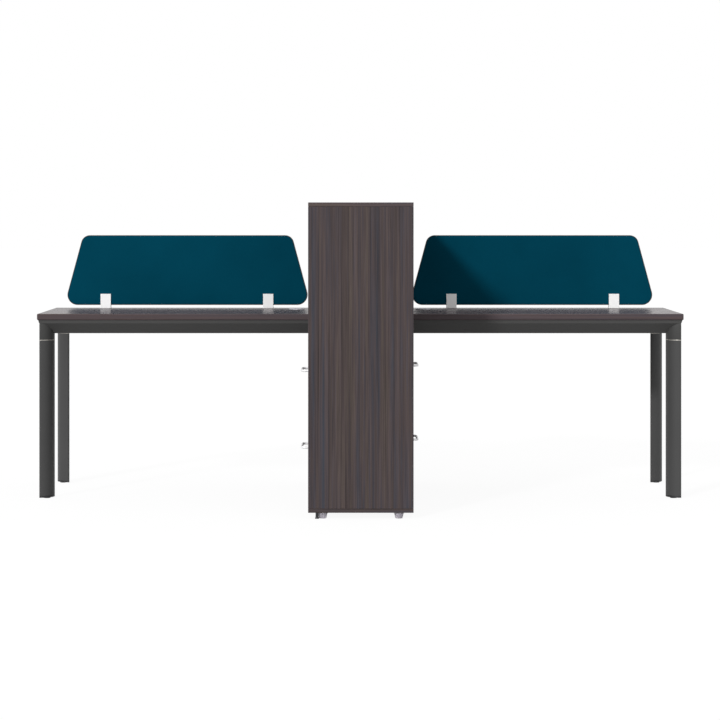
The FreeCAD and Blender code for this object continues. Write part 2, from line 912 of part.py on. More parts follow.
def cope_beam(body, name, corner, sense):
    """Cuts a beam's end to the leg's rounded side and, past it, to the mitre with the next beam."""
    gap = mm.mitre_gap
    over = mm.cut_overrun
    start = mm.leg_inset - gap
    end = mm.leg_inset + mm.leg_width
    deep = beam_depth + over
    points = [
        (-over, gap - over),
        (start, mm.leg_inset),
        (end, end + gap),
        (deep, deep + gap),
        (deep, -over),
        (-over, -over),
    ]
    corners = [(x, corner + sense * y) for x, y in points]
    sketch = new_sketch(body, name + "_cope_outline", "XZ_Plane")
    draw(sketch, corners, {1: (mm.leg_width + gap, -sense)})
    pocket(body, name + "_cope", sketch, 2 * (mm.beam_height + over), side="Symmetric")


def beam_turn(inward):
    """Gives the turn that stands a beam's section upright, its depth along a flat direction."""
    up = FreeCAD.Vector(0, 0, 1)
    return FreeCAD.Rotation(inward, up, inward.cross(up))


BEAM_TURNS = {
    "front": beam_turn(FreeCAD.Vector(0, 1, 0)),
    "rear": beam_turn(FreeCAD.Vector(0, -1, 0)),
    "left": beam_turn(FreeCAD.Vector(1, 0, 0)),
    "right": beam_turn(FreeCAD.Vector(-1, 0, 0)),
}


def make_long_beam(side, row):
    """Builds a beam that runs from an outer leg to the cabinet."""
    name = f"{row_name(row)}_beam_{side_name(side)}"
    sense = 1 if side == row else -1
    body = new_body(name + "_body")
    y = desk_front if row == FRONT else desk_rear
    place(body, side * worktop_end, y, worktop_under, BEAM_TURNS[row_name(row)])
    length = mm.worktop_length - mm.bracket_thick - mm.beam_gap
    pad_beam(body, name, length, reverse=sense < 0)
    cope_beam(body, name, as_dim(0), sense)
    keep(body, name)


def make_end_beam(side):
    """Builds the beam between the two legs of a desk's outer end."""
    name = f"end_beam_{side_name(side)}"
    body = new_body(name + "_body")
    middle = (desk_front + desk_rear) / 2
    place(body, side * worktop_end, middle, worktop_under, BEAM_TURNS[side_name(side)])
    pad_beam(body, name, mm.desk_depth, side="Symmetric")
    for word, sense in (("first", 1), ("second", -1)):
        cope_beam(body, f"{name}_{word}", -sense * mm.desk_depth / 2, sense)
    keep(body, name)


CORNERS = tuple((side, row) for side in (LEFT, RIGHT) for row in (FRONT, REAR))
CORNER_ANGLES = {(LEFT, FRONT): 0, (RIGHT, FRONT): 90, (RIGHT, REAR): 180, (LEFT, REAR): -90}


def place_at_corner(thing, side, row, z):
    """Stands a leg piece at a desk's outer corner, its leaf section pointing to the desk's middle."""
    y = desk_front + mm.leg_inset if row == FRONT else desk_rear - mm.leg_inset
    turn = FreeCAD.Rotation(FreeCAD.Vector(0, 0, 1), CORNER_ANGLES[side, row])
    place(thing, side * (worktop_end - mm.leg_inset), y, z, turn)


def leg_axis(side, row):
    """Gives the x and y of the middle of a leg."""
    inset = mm.leg_inset + mm.leg_width / 2
    y = desk_front + inset if row == FRONT else desk_rear - inset
    return side * (worktop_end - inset), y


def draw_leaf(sketch, inward):
    """Draws the leg's leaf outline between two arcs, set in from the outer face by a distance."""
    radius = mm.leg_width - inward
    spread = (2 * radius * radius - mm.leg_width * mm.leg_width).root()
    near = (mm.leg_width - spread) / 2
    far = (mm.leg_width + spread) / 2
    draw(sketch, [(near, near), (far, far)], {0: (radius, 1), 1: (radius, 1)})


def is_leaf_tip(edge):
    """Tells whether an upright edge is one of the leaf's two outer tips."""
    if not is_upright(edge):
        return False
    box = edge.BoundBox
    middle = mm.leg_width.value / 2
    out = math.hypot(box.Center.x - middle, box.Center.y - middle)
    return out > math.hypot(middle, middle) - mm.leg_wall.value / 2


casting_height = mm.beam_height + mm.casting_skirt
leg_top = worktop_under - casting_height - mm.ring_thick
cap_top = mm.leveller_disc_height + mm.cap_height


def make_leg(side, row):
    """Builds a leg: a leaf-shaped tube from its plastic cap to the ring under the casting."""
    name = f"{row_name(row)}_leg_{side_name(side)}"
    body = new_body(name + "_body")
    outline = new_sketch(body, name + "_outline", "XY_Plane")
    draw_leaf(outline, as_dim(0))
    bar = pad(body, name + "_bar", outline, leg_top - cap_top)
    rounded = round_edges(body, name + "_tips", bar, is_leaf_tip, mm.leg_tip_radius)
    hollow = new_sketch(body, name + "_hollow", "XY_Plane")
    draw_leaf(hollow, mm.leg_wall)
    body.Tip = rounded
    pocket(body, name + "_bore", hollow, 2 * leg_top, side="Symmetric")
    place_at_corner(body, side, row, cap_top)
    keep(body, name)


def make_casting(name, side, row):
    """Builds the corner casting that joins the beams, with the spigot that enters the leg."""
    body = new_body(name + "_body")
    outline = new_sketch(body, name + "_outline", "XY_Plane")
    draw_leaf(outline, as_dim(0))
    head = pad(body, name + "_head", outline, casting_height)
    rounded = round_edges(body, name + "_tips", head, is_leaf_tip, mm.leg_tip_radius)
    body.Tip = rounded
    plug = new_sketch(body, name + "_plug", "XY_Plane")
    draw_leaf(plug, mm.leg_wall + mm.spigot_play)
    pad(body, name + "_spigot", plug, mm.spigot_length, reverse=True)
    place_at_corner(body, side, row, worktop_under - casting_height)
    return body


def make_ring(name, side, row):
    """Builds the bright ring between a leg and its casting."""
    body = new_body(name + "_body")
    outline = new_sketch(body, name + "_outline", "XY_Plane")
    proud = mm.ring_proud
    low = -proud
    high = mm.leg_width + proud
    radius = mm.leg_width + 2 * proud
    draw(outline, [(low, low), (high, high)], {0: (radius, 1), 1: (radius, 1)})
    draw_leaf(outline, mm.leg_wall)
    pad(body, name + "_disc", outline, mm.ring_thick)
    place_at_corner(body, side, row, leg_top)
    return body


def make_cap(name, side, row):
    """Builds the plastic cap that plugs the foot of a leg and carries the levelling foot."""
    body = new_body(name + "_body")
    outline = new_sketch(body, name + "_outline", "XY_Plane")
    draw_leaf(outline, as_dim(0))
    base = pad(body, name + "_flange", outline, mm.cap_height)
    rounded = round_edges(body, name + "_tips", base, is_leaf_tip, mm.leg_tip_radius)
    body.Tip = rounded
    plug = new_sketch(body, name + "_plug", "XY_Plane")
    draw_leaf(plug, mm.leg_wall + mm.spigot_play)
    bind(plug, **{"AttachmentOffset.Base.z": mm.cap_height})
    pad(body, name + "_spigot", plug, mm.cap_spigot)
    bore = new_sketch(body, name + "_bore_outline", "XY_Plane")
    middle = mm.leg_width / 2
    draw_circle(bore, (middle, middle), mm.leveller_stem_radius + mm.leveller_play)
    depth = mm.cap_height + mm.cap_spigot + mm.cut_overrun
    pocket(body, name + "_bore", bore, 2 * depth, side="Symmetric")
    place_at_corner(body, side, row, mm.leveller_disc_height)
    return body


def make_leveller(side, row):
    """Builds a levelling foot: a disc on the floor and a stem that screws into the cap."""
    name = f"levelling_foot_{row_name(row)}_{side_name(side)}"
    x, y = leg_axis(side, row)
    disc_top = mm.leveller_disc_height - mm.leveller_play
    low = mm.leveller_disc_radius
    high = mm.leveller_disc_radius - mm.leveller_disc_height / 2
    disc = cone(name + "_disc", low, high, x, y, (as_dim(0), disc_top))
    stem = rod(name + "_stem", mm.leveller_stem_radius, x, y, (disc_top, mm.leveller_stem_length))
    keep(fuse(name + "_whole", [disc, stem]), name)


def make_legs():
    """Builds the outer legs and everything on them."""
    castings, rings, caps = [], [], []
    for side, row in CORNERS:
        name = f"{row_name(row)}_{side_name(side)}"
        make_leg(side, row)
        castings.append(make_casting("casting_" + name, side, row))
        rings.append(make_ring("ring_" + name, side, row))
        caps.append(make_cap("cap_" + name, side, row))
        make_leveller(side, row)
    keep(group("castings", castings), "corner_castings")
    keep(group("rings", rings), "leg_rings")
    keep(group("caps", caps), "leg_caps")


def make_brackets():
    """Builds the plates that carry the beams on the cabinet, and their screws."""
    brackets, screws = [], []
    for side, row in CORNERS:
        name = f"bracket_{row_name(row)}_{side_name(side)}"
        plate_x = across(side, half_width, half_width + mm.bracket_thick)
        plate_z = (worktop_under - mm.beam_height, worktop_under)
        plate_y = along(row, bracket_front, beam_depth + mm.bracket_ear)
        plate = board(name + "_plate", plate_x, plate_y, plate_z)
        tongue_x = across(side, half_width, half_width + mm.bracket_thick + mm.bracket_tongue)
        play = mm.beam_wall + mm.bracket_play
        tongue_y = along(row, bracket_front, beam_depth - play)
        low = worktop_under - mm.beam_height / 2
        tongue = board(name + "_tongue", tongue_x, tongue_y, (low, worktop_under - play))
        bores = []
        for index, (y, z) in enumerate(bracket_screw_places(row)):
            face = half_width + mm.bracket_thick
            bore_x = across(side, half_width - mm.cut_overrun, face + mm.cut_overrun)
            radius = mm.bracket_screw_radius
            bores.append(rod(f"{name}_bore_{index}", radius + mm.screw_play, bore_x, y, z))
            shank_x = across(side, half_width - mm.bracket_screw_bite, face)
            head_x = across(side, face, face + mm.bracket_screw_head)
            shank = rod(f"{name}_shank_{index}", radius, shank_x, y, z)
            head = rod(f"{name}_head_{index}", mm.bracket_screw_head_radius, head_x, y, z)
            screws.append(fuse(f"{name}_screw_{index}", [shank, head]))
        blank = fuse(name + "_blank", [plate, tongue])
        brackets.append(cut(name + "_drilled", blank, bores))
    keep(group("brackets", brackets), "beam_brackets")
    keep(group("bracket_screw_set", screws), "bracket_screws")


# Worktops, cable grommets and screens
grommet_reach = half_width + mm.grommet_inset
grommet_y = desk_rear - mm.grommet_rear_gap
screen_rear = desk_rear - mm.screen_rear_gap
screen_front = screen_rear - mm.screen_thick
shoe_rear = screen_rear + mm.shoe_play + mm.shoe_wall
shoe_front = screen_front - mm.shoe_play - mm.shoe_wall
shoe_seat = mm.desk_height + mm.screen_lift - mm.shoe_play
SHOE_PLACES = (
    ("inner", half_width + mm.inner_shoe_inset),
    ("outer", worktop_end - mm.outer_shoe_inset),
)


def make_worktop(side):
    """Builds a worktop with its grommet hole, its screw bores and its rounded free edges."""
    name = f"worktop_{side_name(side)}"
    body = new_body(name + "_body")
    place(body, z=worktop_under)
    outline = new_sketch(body, name + "_outline", "XY_Plane")
    x = across(side, half_width, worktop_end)
    draw(outline, rectangle((x[0], desk_front), (x[1], desk_rear)))
    slab = pad(body, name + "_slab", outline, mm.worktop_thick)
    outer = side * worktop_end.value

    def is_outer_corner(edge):
        return is_upright(edge) and abs(edge.BoundBox.Center.x - outer) < mm.cut_overrun.value

    corners = round_edges(body, name + "_corners", slab, is_outer_corner, mm.worktop_corner_radius)

    def is_free_rim(edge):
        """Tells whether an edge lies along the top or the underside and not at the cabinet."""
        box = edge.BoundBox
        level = box.ZLength < mm.worktop_thick.value / 2
        return level and abs(box.Center.x - side * half_width.value) > mm.cut_overrun.value

    body.Tip = corners
    rim = round_edges(body, name + "_rim", corners, is_free_rim, mm.worktop_edge_radius)
    body.Tip = rim
    hole = new_sketch(body, name + "_grommet_hole", "XY_Plane")
    hole_radius = mm.grommet_sleeve_radius + mm.grommet_hole_play
    draw_circle(hole, (side * grommet_reach, grommet_y), hole_radius)
    pocket(body, name + "_hole", hole, 2 * (mm.worktop_thick + mm.cut_overrun), side="Symmetric")
    bores = new_sketch(body, name + "_screw_bores", "XY_Plane")
    for _, distance in SHOE_PLACES:
        centre = (side * distance, (screen_front + screen_rear) / 2)
        draw_circle(bores, centre, mm.wood_screw_radius + mm.screw_play)
    bore_floor = mm.worktop_thick - mm.wood_screw_bite - mm.screw_play
    bind(bores, **{"AttachmentOffset.Base.z": bore_floor})
    pocket(body, name + "_bores", bores, mm.worktop_thick, reverse=True)
    keep(body, name)


def make_grommet_ring(side):
    """Builds the flanged sleeve of a cable grommet by turning its section."""
    name = f"grommet_ring_{side_name(side)}"
    body = new_body(name + "_body")
    place(body, side * grommet_reach, grommet_y, mm.desk_height)
    section = new_sketch(body, name + "_section", "XZ_Plane")
    inner = mm.grommet_sleeve_radius - mm.grommet_wall
    ledge = inner - mm.grommet_ledge
    seat = mm.grommet_flange_height - mm.grommet_cap_thick
    shelf = seat - mm.grommet_wall
    corners = [
        (inner, mm.grommet_flange_height),
        (inner, seat),
        (ledge, seat),
        (ledge, shelf),
        (inner, shelf),
        (inner, -mm.grommet_sleeve_length),
        (mm.grommet_sleeve_radius, -mm.grommet_sleeve_length),
        (mm.grommet_sleeve_radius, as_dim(0)),
        (mm.grommet_flange_radius, as_dim(0)),
        (mm.grommet_flange_radius - mm.grommet_flange_height / 2, mm.grommet_flange_height),
    ]
    draw(section, corners)
    revolve(body, name + "_turned", section)
    return body


def make_grommet_cap(side):
    """Builds the cap that turns in the grommet ring, with a slot for cables in its rim."""
    name = f"grommet_cap_{side_name(side)}"
    body = new_body(name + "_body")
    seat = mm.desk_height + mm.grommet_flange_height - mm.grommet_cap_thick
    place(body, side * grommet_reach, grommet_y, seat + mm.grommet_seat_play)
    outline = new_sketch(body, name + "_outline", "XY_Plane")
    radius = mm.grommet_sleeve_radius - mm.grommet_wall - mm.grommet_cap_play
    draw_circle(outline, (as_dim(0), as_dim(0)), radius)
    pad(body, name + "_disc", outline, mm.grommet_cap_thick)
    slot = new_sketch(body, name + "_slot_outline", "XY_Plane")
    half = mm.cable_slot_width / 2
    deep = radius - mm.cable_slot_length + half
    draw(slot, rectangle((-half, deep), (half, radius + half)))
    depth = 2 * (mm.grommet_cap_thick + mm.cut_overrun)
    pocket(body, name + "_slot", slot, depth, side="Symmetric")
    end = new_sketch(body, name + "_slot_end_outline", "XY_Plane")
    draw_circle(end, (as_dim(0), deep), half)
    pocket(body, name + "_slot_end", end, depth, side="Symmetric")
    keep(body, name)


def make_screen(side):
    """Builds a screen: an upright panel that narrows to its top, with rounded corners."""
    name = f"screen_{side_name(side)}"
    body = new_body(name + "_body")
    place(body, y=screen_rear, z=mm.desk_height + mm.screen_lift)
    outline = new_sketch(body, name + "_outline", "XZ_Plane")
    x = across(side, half_width + mm.screen_inner_gap, worktop_end - mm.screen_outer_gap)
    slant = mm.screen_slant
    corners = [
        (x[0], as_dim(0)),
        (x[1], as_dim(0)),
        (x[1] - slant, mm.screen_height),
        (x[0] + slant, mm.screen_height),
    ]
    draw(outline, corners)
    panel = pad(body, name + "_panel", outline, mm.screen_thick)

    def runs_through(edge):
        """Tells whether an edge runs through the panel's thickness."""
        return abs(edge.BoundBox.YLength - edge.Length) < STRAY_SHARE * edge.Length

    def is_top_corner(edge):
        return runs_through(edge) and edge.BoundBox.Center.z > mm.screen_height.value / 2

    def is_foot_corner(edge):
        return runs_through(edge) and edge.BoundBox.Center.z < mm.screen_height.value / 2

    top = round_edges(body, name + "_top_corners", panel, is_top_corner, mm.screen_top_radius)
    body.Tip = top
    foot = round_edges(body, name + "_foot_corners", top, is_foot_corner, mm.screen_foot_radius)
    body.Tip = foot
    keep(body, name)


def make_shoe(name, x):
    """Builds the U-shaped metal shoe that holds a screen's lower edge."""
    body = new_body(name + "_body")
    place(body, x=x)
    section = new_sketch(body, name + "_section", "YZ_Plane")
    top = mm.desk_height + mm.shoe_height
    corners = [
        (shoe_front, mm.desk_height),
        (shoe_rear, mm.desk_height),
        (shoe_rear, top),
        (shoe_rear - mm.shoe_wall, top),
        (shoe_rear - mm.shoe_wall, shoe_seat),
        (shoe_front + mm.shoe_wall, shoe_seat),
        (shoe_front + mm.shoe_wall, top),
        (shoe_front, top),
    ]
    draw(section, corners)
    pad(body, name + "_fork", section, mm.shoe_width, side="Symmetric")
    return body


def make_shoes():
    """Builds the screen shoes with the screws that clamp the screens and hold the shoes down."""
    shoes, screws = [], []
    middle = (screen_front + screen_rear) / 2
    for side in (LEFT, RIGHT):
        for word, distance in SHOE_PLACES:
            name = f"shoe_{word}_{side_name(side)}"
            x = side * distance
            body = make_shoe(name, x)
            lift = mm.desk_height + mm.clamp_screw_lift
            clear_y = (shoe_rear - mm.shoe_wall - mm.shoe_play / 2, shoe_rear + mm.cut_overrun)
            head_z = shoe_seat - mm.wood_screw_head - mm.screw_play
            down_z = (mm.desk_height - mm.cut_overrun, shoe_seat)
            head_bore_z = (head_z - mm.screw_play, shoe_seat + mm.shoe_play / 2)
            bores = [
                rod(name + "_clamp_bore", mm.clamp_screw_radius + mm.screw_play, x, clear_y, lift),
                rod(name + "_wood_bore", mm.wood_screw_radius + mm.screw_play, x, middle, down_z),
                rod(name + "_head_bore", mm.wood_screw_head_radius + mm.screw_play, x, middle, head_bore_z),
            ]
            shoes.append(cut(name + "_drilled", body, bores))
            shank_y = (screen_rear + mm.shoe_play / 2, shoe_rear)
            head_y = (shoe_rear, shoe_rear + mm.clamp_screw_head)
            shank = rod(name + "_clamp_shank", mm.clamp_screw_radius, x, shank_y, lift)
            head = rod(name + "_clamp_head", mm.clamp_screw_head_radius, x, head_y, lift)
            screws.append(fuse(name + "_clamp_screw", [shank, head]))
            deep_z = (mm.desk_height - mm.wood_screw_bite, head_z)
            shank = rod(name + "_wood_shank", mm.wood_screw_radius, x, middle, deep_z)
            flat_z = (head_z, head_z + mm.wood_screw_head)
            head = rod(name + "_wood_head", mm.wood_screw_head_radius, x, middle, flat_z)
            screws.append(fuse(name + "_wood_screw", [shank, head]))
    keep(group("shoes", shoes), "screen_shoes")
    keep(group("shoe_screw_set", screws), "shoe_screws")


def make_desks():
    """Builds both desks: frames, worktops, grommets and screens."""
    for side, row in CORNERS:
        make_long_beam(side, row)
    rings = []
    for side in (LEFT, RIGHT):
        make_end_beam(side)
        make_worktop(side)
        rings.append(make_grommet_ring(side))
        make_grommet_cap(side)
        make_screen(side)
    keep(group("grommets", rings), "grommet_rings")
    make_legs()
    make_brackets()
    make_shoes()


def check_and_export():
    """Stops on any failed object or bad shape, then writes one file for each sub-part."""
    doc.recompute()
    failed = [item.Name for item in doc.Objects if {"Invalid", "Error"} & set(item.State)]
    if failed:
        raise RuntimeError(f"failed objects: {failed}")
    for node in nodes:
        if node.Shape.isNull() or not node.Shape.isValid() or not node.Shape.Solids:
            raise RuntimeError(f"bad shape: {node.Label}")
    os.makedirs("parts", exist_ok=True)
    for node in nodes:
        node.Shape.exportStep(f"parts/{node.Label}.step")
        print(f"{node.Label}: {len(node.Shape.Solids)} solids, {node.Shape.Volume:.0f} cubic millimetres")
    print(f"{len(nodes)} sub-parts written")


make_top_and_base()
make_uprights()
make_side_panels()
make_shelves()
make_cabinet_feet()
make_drawers()
make_desks()
check_and_export()
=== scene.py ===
"""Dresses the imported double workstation: finer meshes, finishes, light and the photograph's camera."""

import json
import logging
import math
from dataclasses import dataclass, field
from enum import Enum
from typing import Callable, Iterable, Optional, Sequence

import bmesh
import bpy
from mathutils import Matrix, Vector

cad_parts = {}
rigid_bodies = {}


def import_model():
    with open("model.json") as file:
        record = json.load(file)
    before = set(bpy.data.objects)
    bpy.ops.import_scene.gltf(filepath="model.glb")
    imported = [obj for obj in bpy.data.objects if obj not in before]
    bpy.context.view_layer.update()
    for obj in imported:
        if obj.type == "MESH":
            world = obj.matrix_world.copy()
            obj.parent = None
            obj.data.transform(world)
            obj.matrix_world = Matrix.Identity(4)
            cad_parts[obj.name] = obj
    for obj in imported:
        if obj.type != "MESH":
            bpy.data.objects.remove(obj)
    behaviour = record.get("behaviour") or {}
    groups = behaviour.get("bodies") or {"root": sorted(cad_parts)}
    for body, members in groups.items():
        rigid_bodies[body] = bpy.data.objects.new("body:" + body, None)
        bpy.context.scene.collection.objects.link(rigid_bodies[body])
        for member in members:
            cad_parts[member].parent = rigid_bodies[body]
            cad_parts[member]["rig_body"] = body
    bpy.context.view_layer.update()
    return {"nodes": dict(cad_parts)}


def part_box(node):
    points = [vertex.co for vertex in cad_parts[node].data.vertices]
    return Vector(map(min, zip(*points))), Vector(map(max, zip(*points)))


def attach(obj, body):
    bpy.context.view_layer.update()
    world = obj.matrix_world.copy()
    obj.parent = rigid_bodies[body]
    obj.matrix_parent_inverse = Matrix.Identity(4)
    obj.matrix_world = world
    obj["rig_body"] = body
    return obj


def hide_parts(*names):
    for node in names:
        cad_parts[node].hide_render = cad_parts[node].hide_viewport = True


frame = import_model()
log = logging.getLogger("workstation")

ROOT = "workstation"
MM = 0.001

Flat = tuple[float, float]
Place = tuple[float, float, float]
Colour = tuple[float, float, float]
Socket = bpy.types.NodeSocket
# Turns two flat coordinates and a height into a place of the part's frame.
Lift = Callable[[float, float, float], Vector]


class Named(Enum):
    """A choice whose name is a word in the names of nodes."""

    @property
    def word(self) -> str:
        """Gives the name as the nodes spell it."""
        return self.name.lower()


class Side(Named):
    """The two sides of the workstation."""

    LEFT = -1
    RIGHT = 1


class Row(Named):
    """The front and the rear edge of a desk."""

    FRONT = -1
    REAR = 1


class Level(Named):
    """The two drawers of a column."""

    LOWER = 0
    UPPER = 1


class Grain(Enum):
    """The direction in which a board's grain runs."""

    ACROSS = 0
    DEEP = 1
    UPRIGHT = 2


# Materials

# Smooth noise lies mostly between these two values.
NOISE_RANGE = (0.3, 0.7)
# Blender's sine bands turn by this many radians per metre and unit of scale.
WAVE_RATE = 20.0
# A face counts as lying across the grain from this share of its normal along the grain.
END_GRAIN_SHARE = 0.7
WHITE = (1.0, 1.0, 1.0, 1.0)


def scaled(colour: Colour, factor: float) -> Colour:
    """Scales a colour, clipped at white."""
    return tuple(min(1.0, channel * factor) for channel in colour)


class Graph:
    """A material's node tree under construction, with a principled shader at its end."""

    def __init__(self, name: str) -> None:
        """Starts a material.

        Args:
            name: The material's name.
        """
        self.material = bpy.data.materials.new(name)
        self.material.use_nodes = True
        self.tree = self.material.node_tree
        self.tree.nodes.clear()
        self.shader = self.add("ShaderNodeBsdfPrincipled")
        self.output = self.add("ShaderNodeOutputMaterial", Surface=self.shader.outputs[0])
        self.coords = self.add("ShaderNodeTexCoord")

    def put(self, socket: Socket, value: object) -> None:
        """Links or writes a value to an input.

        Args:
            socket: The input.
            value: Another node's output, or a plain value, or None to leave the input alone.
        """
        if isinstance(value, Socket):
            self.tree.links.new(value, socket)
        elif value is not None:
            socket.default_value = value

    def fill(self, node: bpy.types.Node, **values: object) -> bpy.types.Node:
        """Fills inputs of a node.

        Args:
            node: The node.
            values: Values by the input's name, with underscores for spaces.

        Returns:
            The same node.
        """
        for name, value in values.items():
            self.put(node.inputs[name.replace("_", " ")], value)
        return node

    def add(self, kind: str, **values: object) -> bpy.types.Node:
        """Adds a node and fills its inputs."""
        return self.fill(self.tree.nodes.new(kind), **values)

    def set(self, **values: object) -> None:
        """Fills inputs of the principled shader."""
        self.fill(self.shader, **values)

    def place(self) -> Socket:
        """Gives the point's place in the piece, in metres."""
        return self.coords.outputs["Object"]

    def stretch(self, vector: Socket, scale: Sequence[float]) -> Socket:
        """Scales a vector on each axis."""
        return self.add("ShaderNodeMapping", Vector=vector, Scale=tuple(scale)).outputs[0]

    def noise(self, vector: Socket, scale: float = 1.0, detail: float = 2.0, rough: float = 0.5,
              warp: float = 0.0) -> Socket:
        """Adds smooth noise.

        Args:
            vector: Where it is read.
            scale: Its frequency per unit of the vector.
            detail: How many finer layers it has.
            rough: How strong the finer layers are.
            warp: How far it is distorted.

        Returns:
            A value around one half.
        """
        node = self.add("ShaderNodeTexNoise", Vector=vector, Scale=scale, Detail=detail, Roughness=rough,
                        Distortion=warp)
        return node.outputs["Fac"]

    def wave(self, vector: Socket, axis: str, scale: float) -> Socket:
        """Adds plain sine bands.

        Args:
            vector: Where they are read.
            axis: X, Y or Z.
            scale: Their frequency, as WAVE_RATE counts it.

        Returns:
            A value from 0 to 1.
        """
        node = self.add("ShaderNodeTexWave", Vector=vector, Scale=scale)
        node.bands_direction = axis
        node.wave_profile = "SIN"
        return node.outputs["Fac"]

    def math(self, kind: str, *terms: object) -> Socket:
        """Adds one sum.

        Args:
            kind: Blender's name of the operation.
            terms: Its terms, one to three of them.

        Returns:
            The result.
        """
        node = self.add("ShaderNodeMath")
        node.operation = kind
        for socket, value in zip(node.inputs, terms):
            self.put(socket, value)
        return node.outputs[0]

    def join(self, first: Socket, second: Socket, share: float) -> Socket:
        """Adds up two values, the first by a share and the second by the rest."""
        return self.math("MULTIPLY_ADD", first, share, self.math("MULTIPLY", second, 1 - share))

    def span(self, value: Socket, low: float, high: float, to_low: float, to_high: float) -> Socket:
        """Maps a range of a value onto another range, clamped at both ends.

        Args:
            value: The value.
            low: Where the range starts.
            high: Where the range ends.
            to_low: What the start becomes.
            to_high: What the end becomes.

        Returns:
            The mapped value.
        """
        node = self.add("ShaderNodeMapRange", Value=value, From_Min=low, From_Max=high, To_Min=to_low,
                        To_Max=to_high)
        return node.outputs["Result"]

    def vary(self, value: Socket, middle: float, swing: float, reach: Flat = NOISE_RANGE) -> Socket:
        """Lets a noise swing a number both ways.

        Args:
            value: The noise.
            middle: The number.
            swing: The share of it by which it swings.
            reach: The range of the noise that is used.

        Returns:
            The varied number.
        """
        return self.span(value, *reach, middle * (1 - swing), middle * (1 + swing))

    def ramp(self, value: Socket, stops: Sequence[tuple[float, Colour]]) -> Socket:
        """Turns a value into a colour.

        Args:
            value: The value.
            stops: Places from 0 to 1, each with its colour.

        Returns:
            The colour.
        """
        node = self.add("ShaderNodeValToRGB", Fac=value)
        elements = node.color_ramp.elements
        while len(elements) < len(stops):
            elements.new(1.0)
        for element, (position, colour) in zip(elements, stops):
            element.position = position
            element.color = (*colour, 1.0)
        return node.outputs["Color"]

    def mottle(self, value: Socket, colour: Colour, darkest: float, lightest: float,
               reach: Flat = NOISE_RANGE) -> Socket:
        """Lets a noise vary how light a colour is.

        Args:
            value: The noise.
            colour: The colour.
            darkest: The factor on the colour at the start of the range.
            lightest: The factor at its end.
            reach: The range of the noise that is used.

        Returns:
            The varied colour.
        """
        return self.ramp(value, ((reach[0], scaled(colour, darkest)), (reach[1], scaled(colour, lightest))))

    def blend(self, share: object, first: object, second: object, kind: str = "MIX") -> Socket:
        """Mixes two colours.

        Args:
            share: How much of the second shows.
            first: The first colour.
            second: The second colour.
            kind: Blender's name of the way of mixing.

        Returns:
            The mixed colour.
        """
        node = self.tree.nodes.new("ShaderNodeMix")
        node.data_type = "RGBA"
        node.blend_type = kind
        self.put(node.inputs["Factor"], share)
        for socket, value in ((node.inputs[6], first), (node.inputs[7], second)):
            self.put(socket, (*value, 1.0) if isinstance(value, tuple) else value)
        return node.outputs[2]

    def pick(self, share: object, first: object, second: object) -> Socket:
        """Mixes two vectors.

        Args:
            share: How much of the second is taken.
            first: The first vector.
            second: The second vector.

        Returns:
            The mixed vector.
        """
        node = self.tree.nodes.new("ShaderNodeMix")
        node.data_type = "VECTOR"
        self.put(node.inputs["Factor"], share)
        self.put(node.inputs[4], first)
        self.put(node.inputs[5], second)
        return node.outputs[1]

    def bump(self, height: Socket, depth: float, strength: float) -> Socket:
        """Turns a height into a bumped normal.

        Args:
            height: The height, from 0 to 1.
            depth: How many metres one unit of height is.
            strength: How much of the effect is used.

        Returns:
            The normal.
        """
        return self.add("ShaderNodeBump", Strength=strength, Distance=depth, Height=height).outputs[0]

    def wear(self, low: float, high: float) -> Socket:
        """Gives 1 along outward edges and 0 elsewhere.

        Args:
            low: The pointiness at which wear starts.
            high: The pointiness at which it is full.

        Returns:
            The share of wear.
        """
        shape = self.add("ShaderNodeNewGeometry")
        return self.span(shape.outputs["Pointiness"], low, high, 0.0, 1.0)


@dataclass(frozen=True)
class Finish:
    """A finish that a maker would name, with the record's slot that it belongs to."""

    name: str
    slot: str

    def build(self) -> bpy.types.Material:
        """Builds the material; each kind of finish has its own."""
        raise NotImplementedError


_materials: dict[str, bpy.types.Material] = {}


def material_of(finish: Finish) -> bpy.types.Material:
    """Gives a finish's material and builds it at its first use.

    Args:
        finish: The finish.

    Returns:
        Its material.
    """
    if finish.name not in _materials:
        _materials[finish.name] = finish.build()
    return _materials[finish.name]


@dataclass(frozen=True)
class GrainLayer:
    """One layer of a wood print: noise drawn out along the grain, and how far it shades the wood.

    Its frequencies across and along the grain are per metre. The range from low to high of its value
    becomes the range from darker to lighter, which are shares of the wood's colour.
    """

    cross: float
    long: float
    detail: float
    rough: float
    warp: float
    low: float = 0.0
    high: float = 1.0
    darker: float = 0.0
    lighter: float = 0.0


BROAD_BANDS = GrainLayer(6.0, 0.10, 2.0, 0.5, 0.10, 0.30, 0.70, 0.06, 0.06)
HUE_BANDS = GrainLayer(34.0, 0.45, 5.0, 0.85, 0.4)
STREAKS = GrainLayer(30.0, 0.42, 5.0, 0.92, 0.3, 0.32, 0.68, 0.46, 0.46)
THIN_LINES = GrainLayer(150.0, 1.10, 1.5, 0.5, 0.5, 0.31, 0.43, 0.40, 0.04)
HAIRS = GrainLayer(900.0, 2.5, 2.0, 0.6, 1.5, 0.30, 0.70, 0.10, 0.10)
PORES = GrainLayer(1900.0, 17.0, 2.0, 0.6, 2.5, 0.60, 0.70)
PORE_COLOUR = (0.020, 0.016, 0.016)
# From the bluish to the brown bands of the wood.
WENGE_TONES = (
    (0.370, (0.0310, 0.0330, 0.0425)),
    (0.455, (0.0430, 0.0362, 0.0415)),
    (0.540, (0.0530, 0.0390, 0.0385)),
    (0.630, (0.0580, 0.0450, 0.0390)),
)


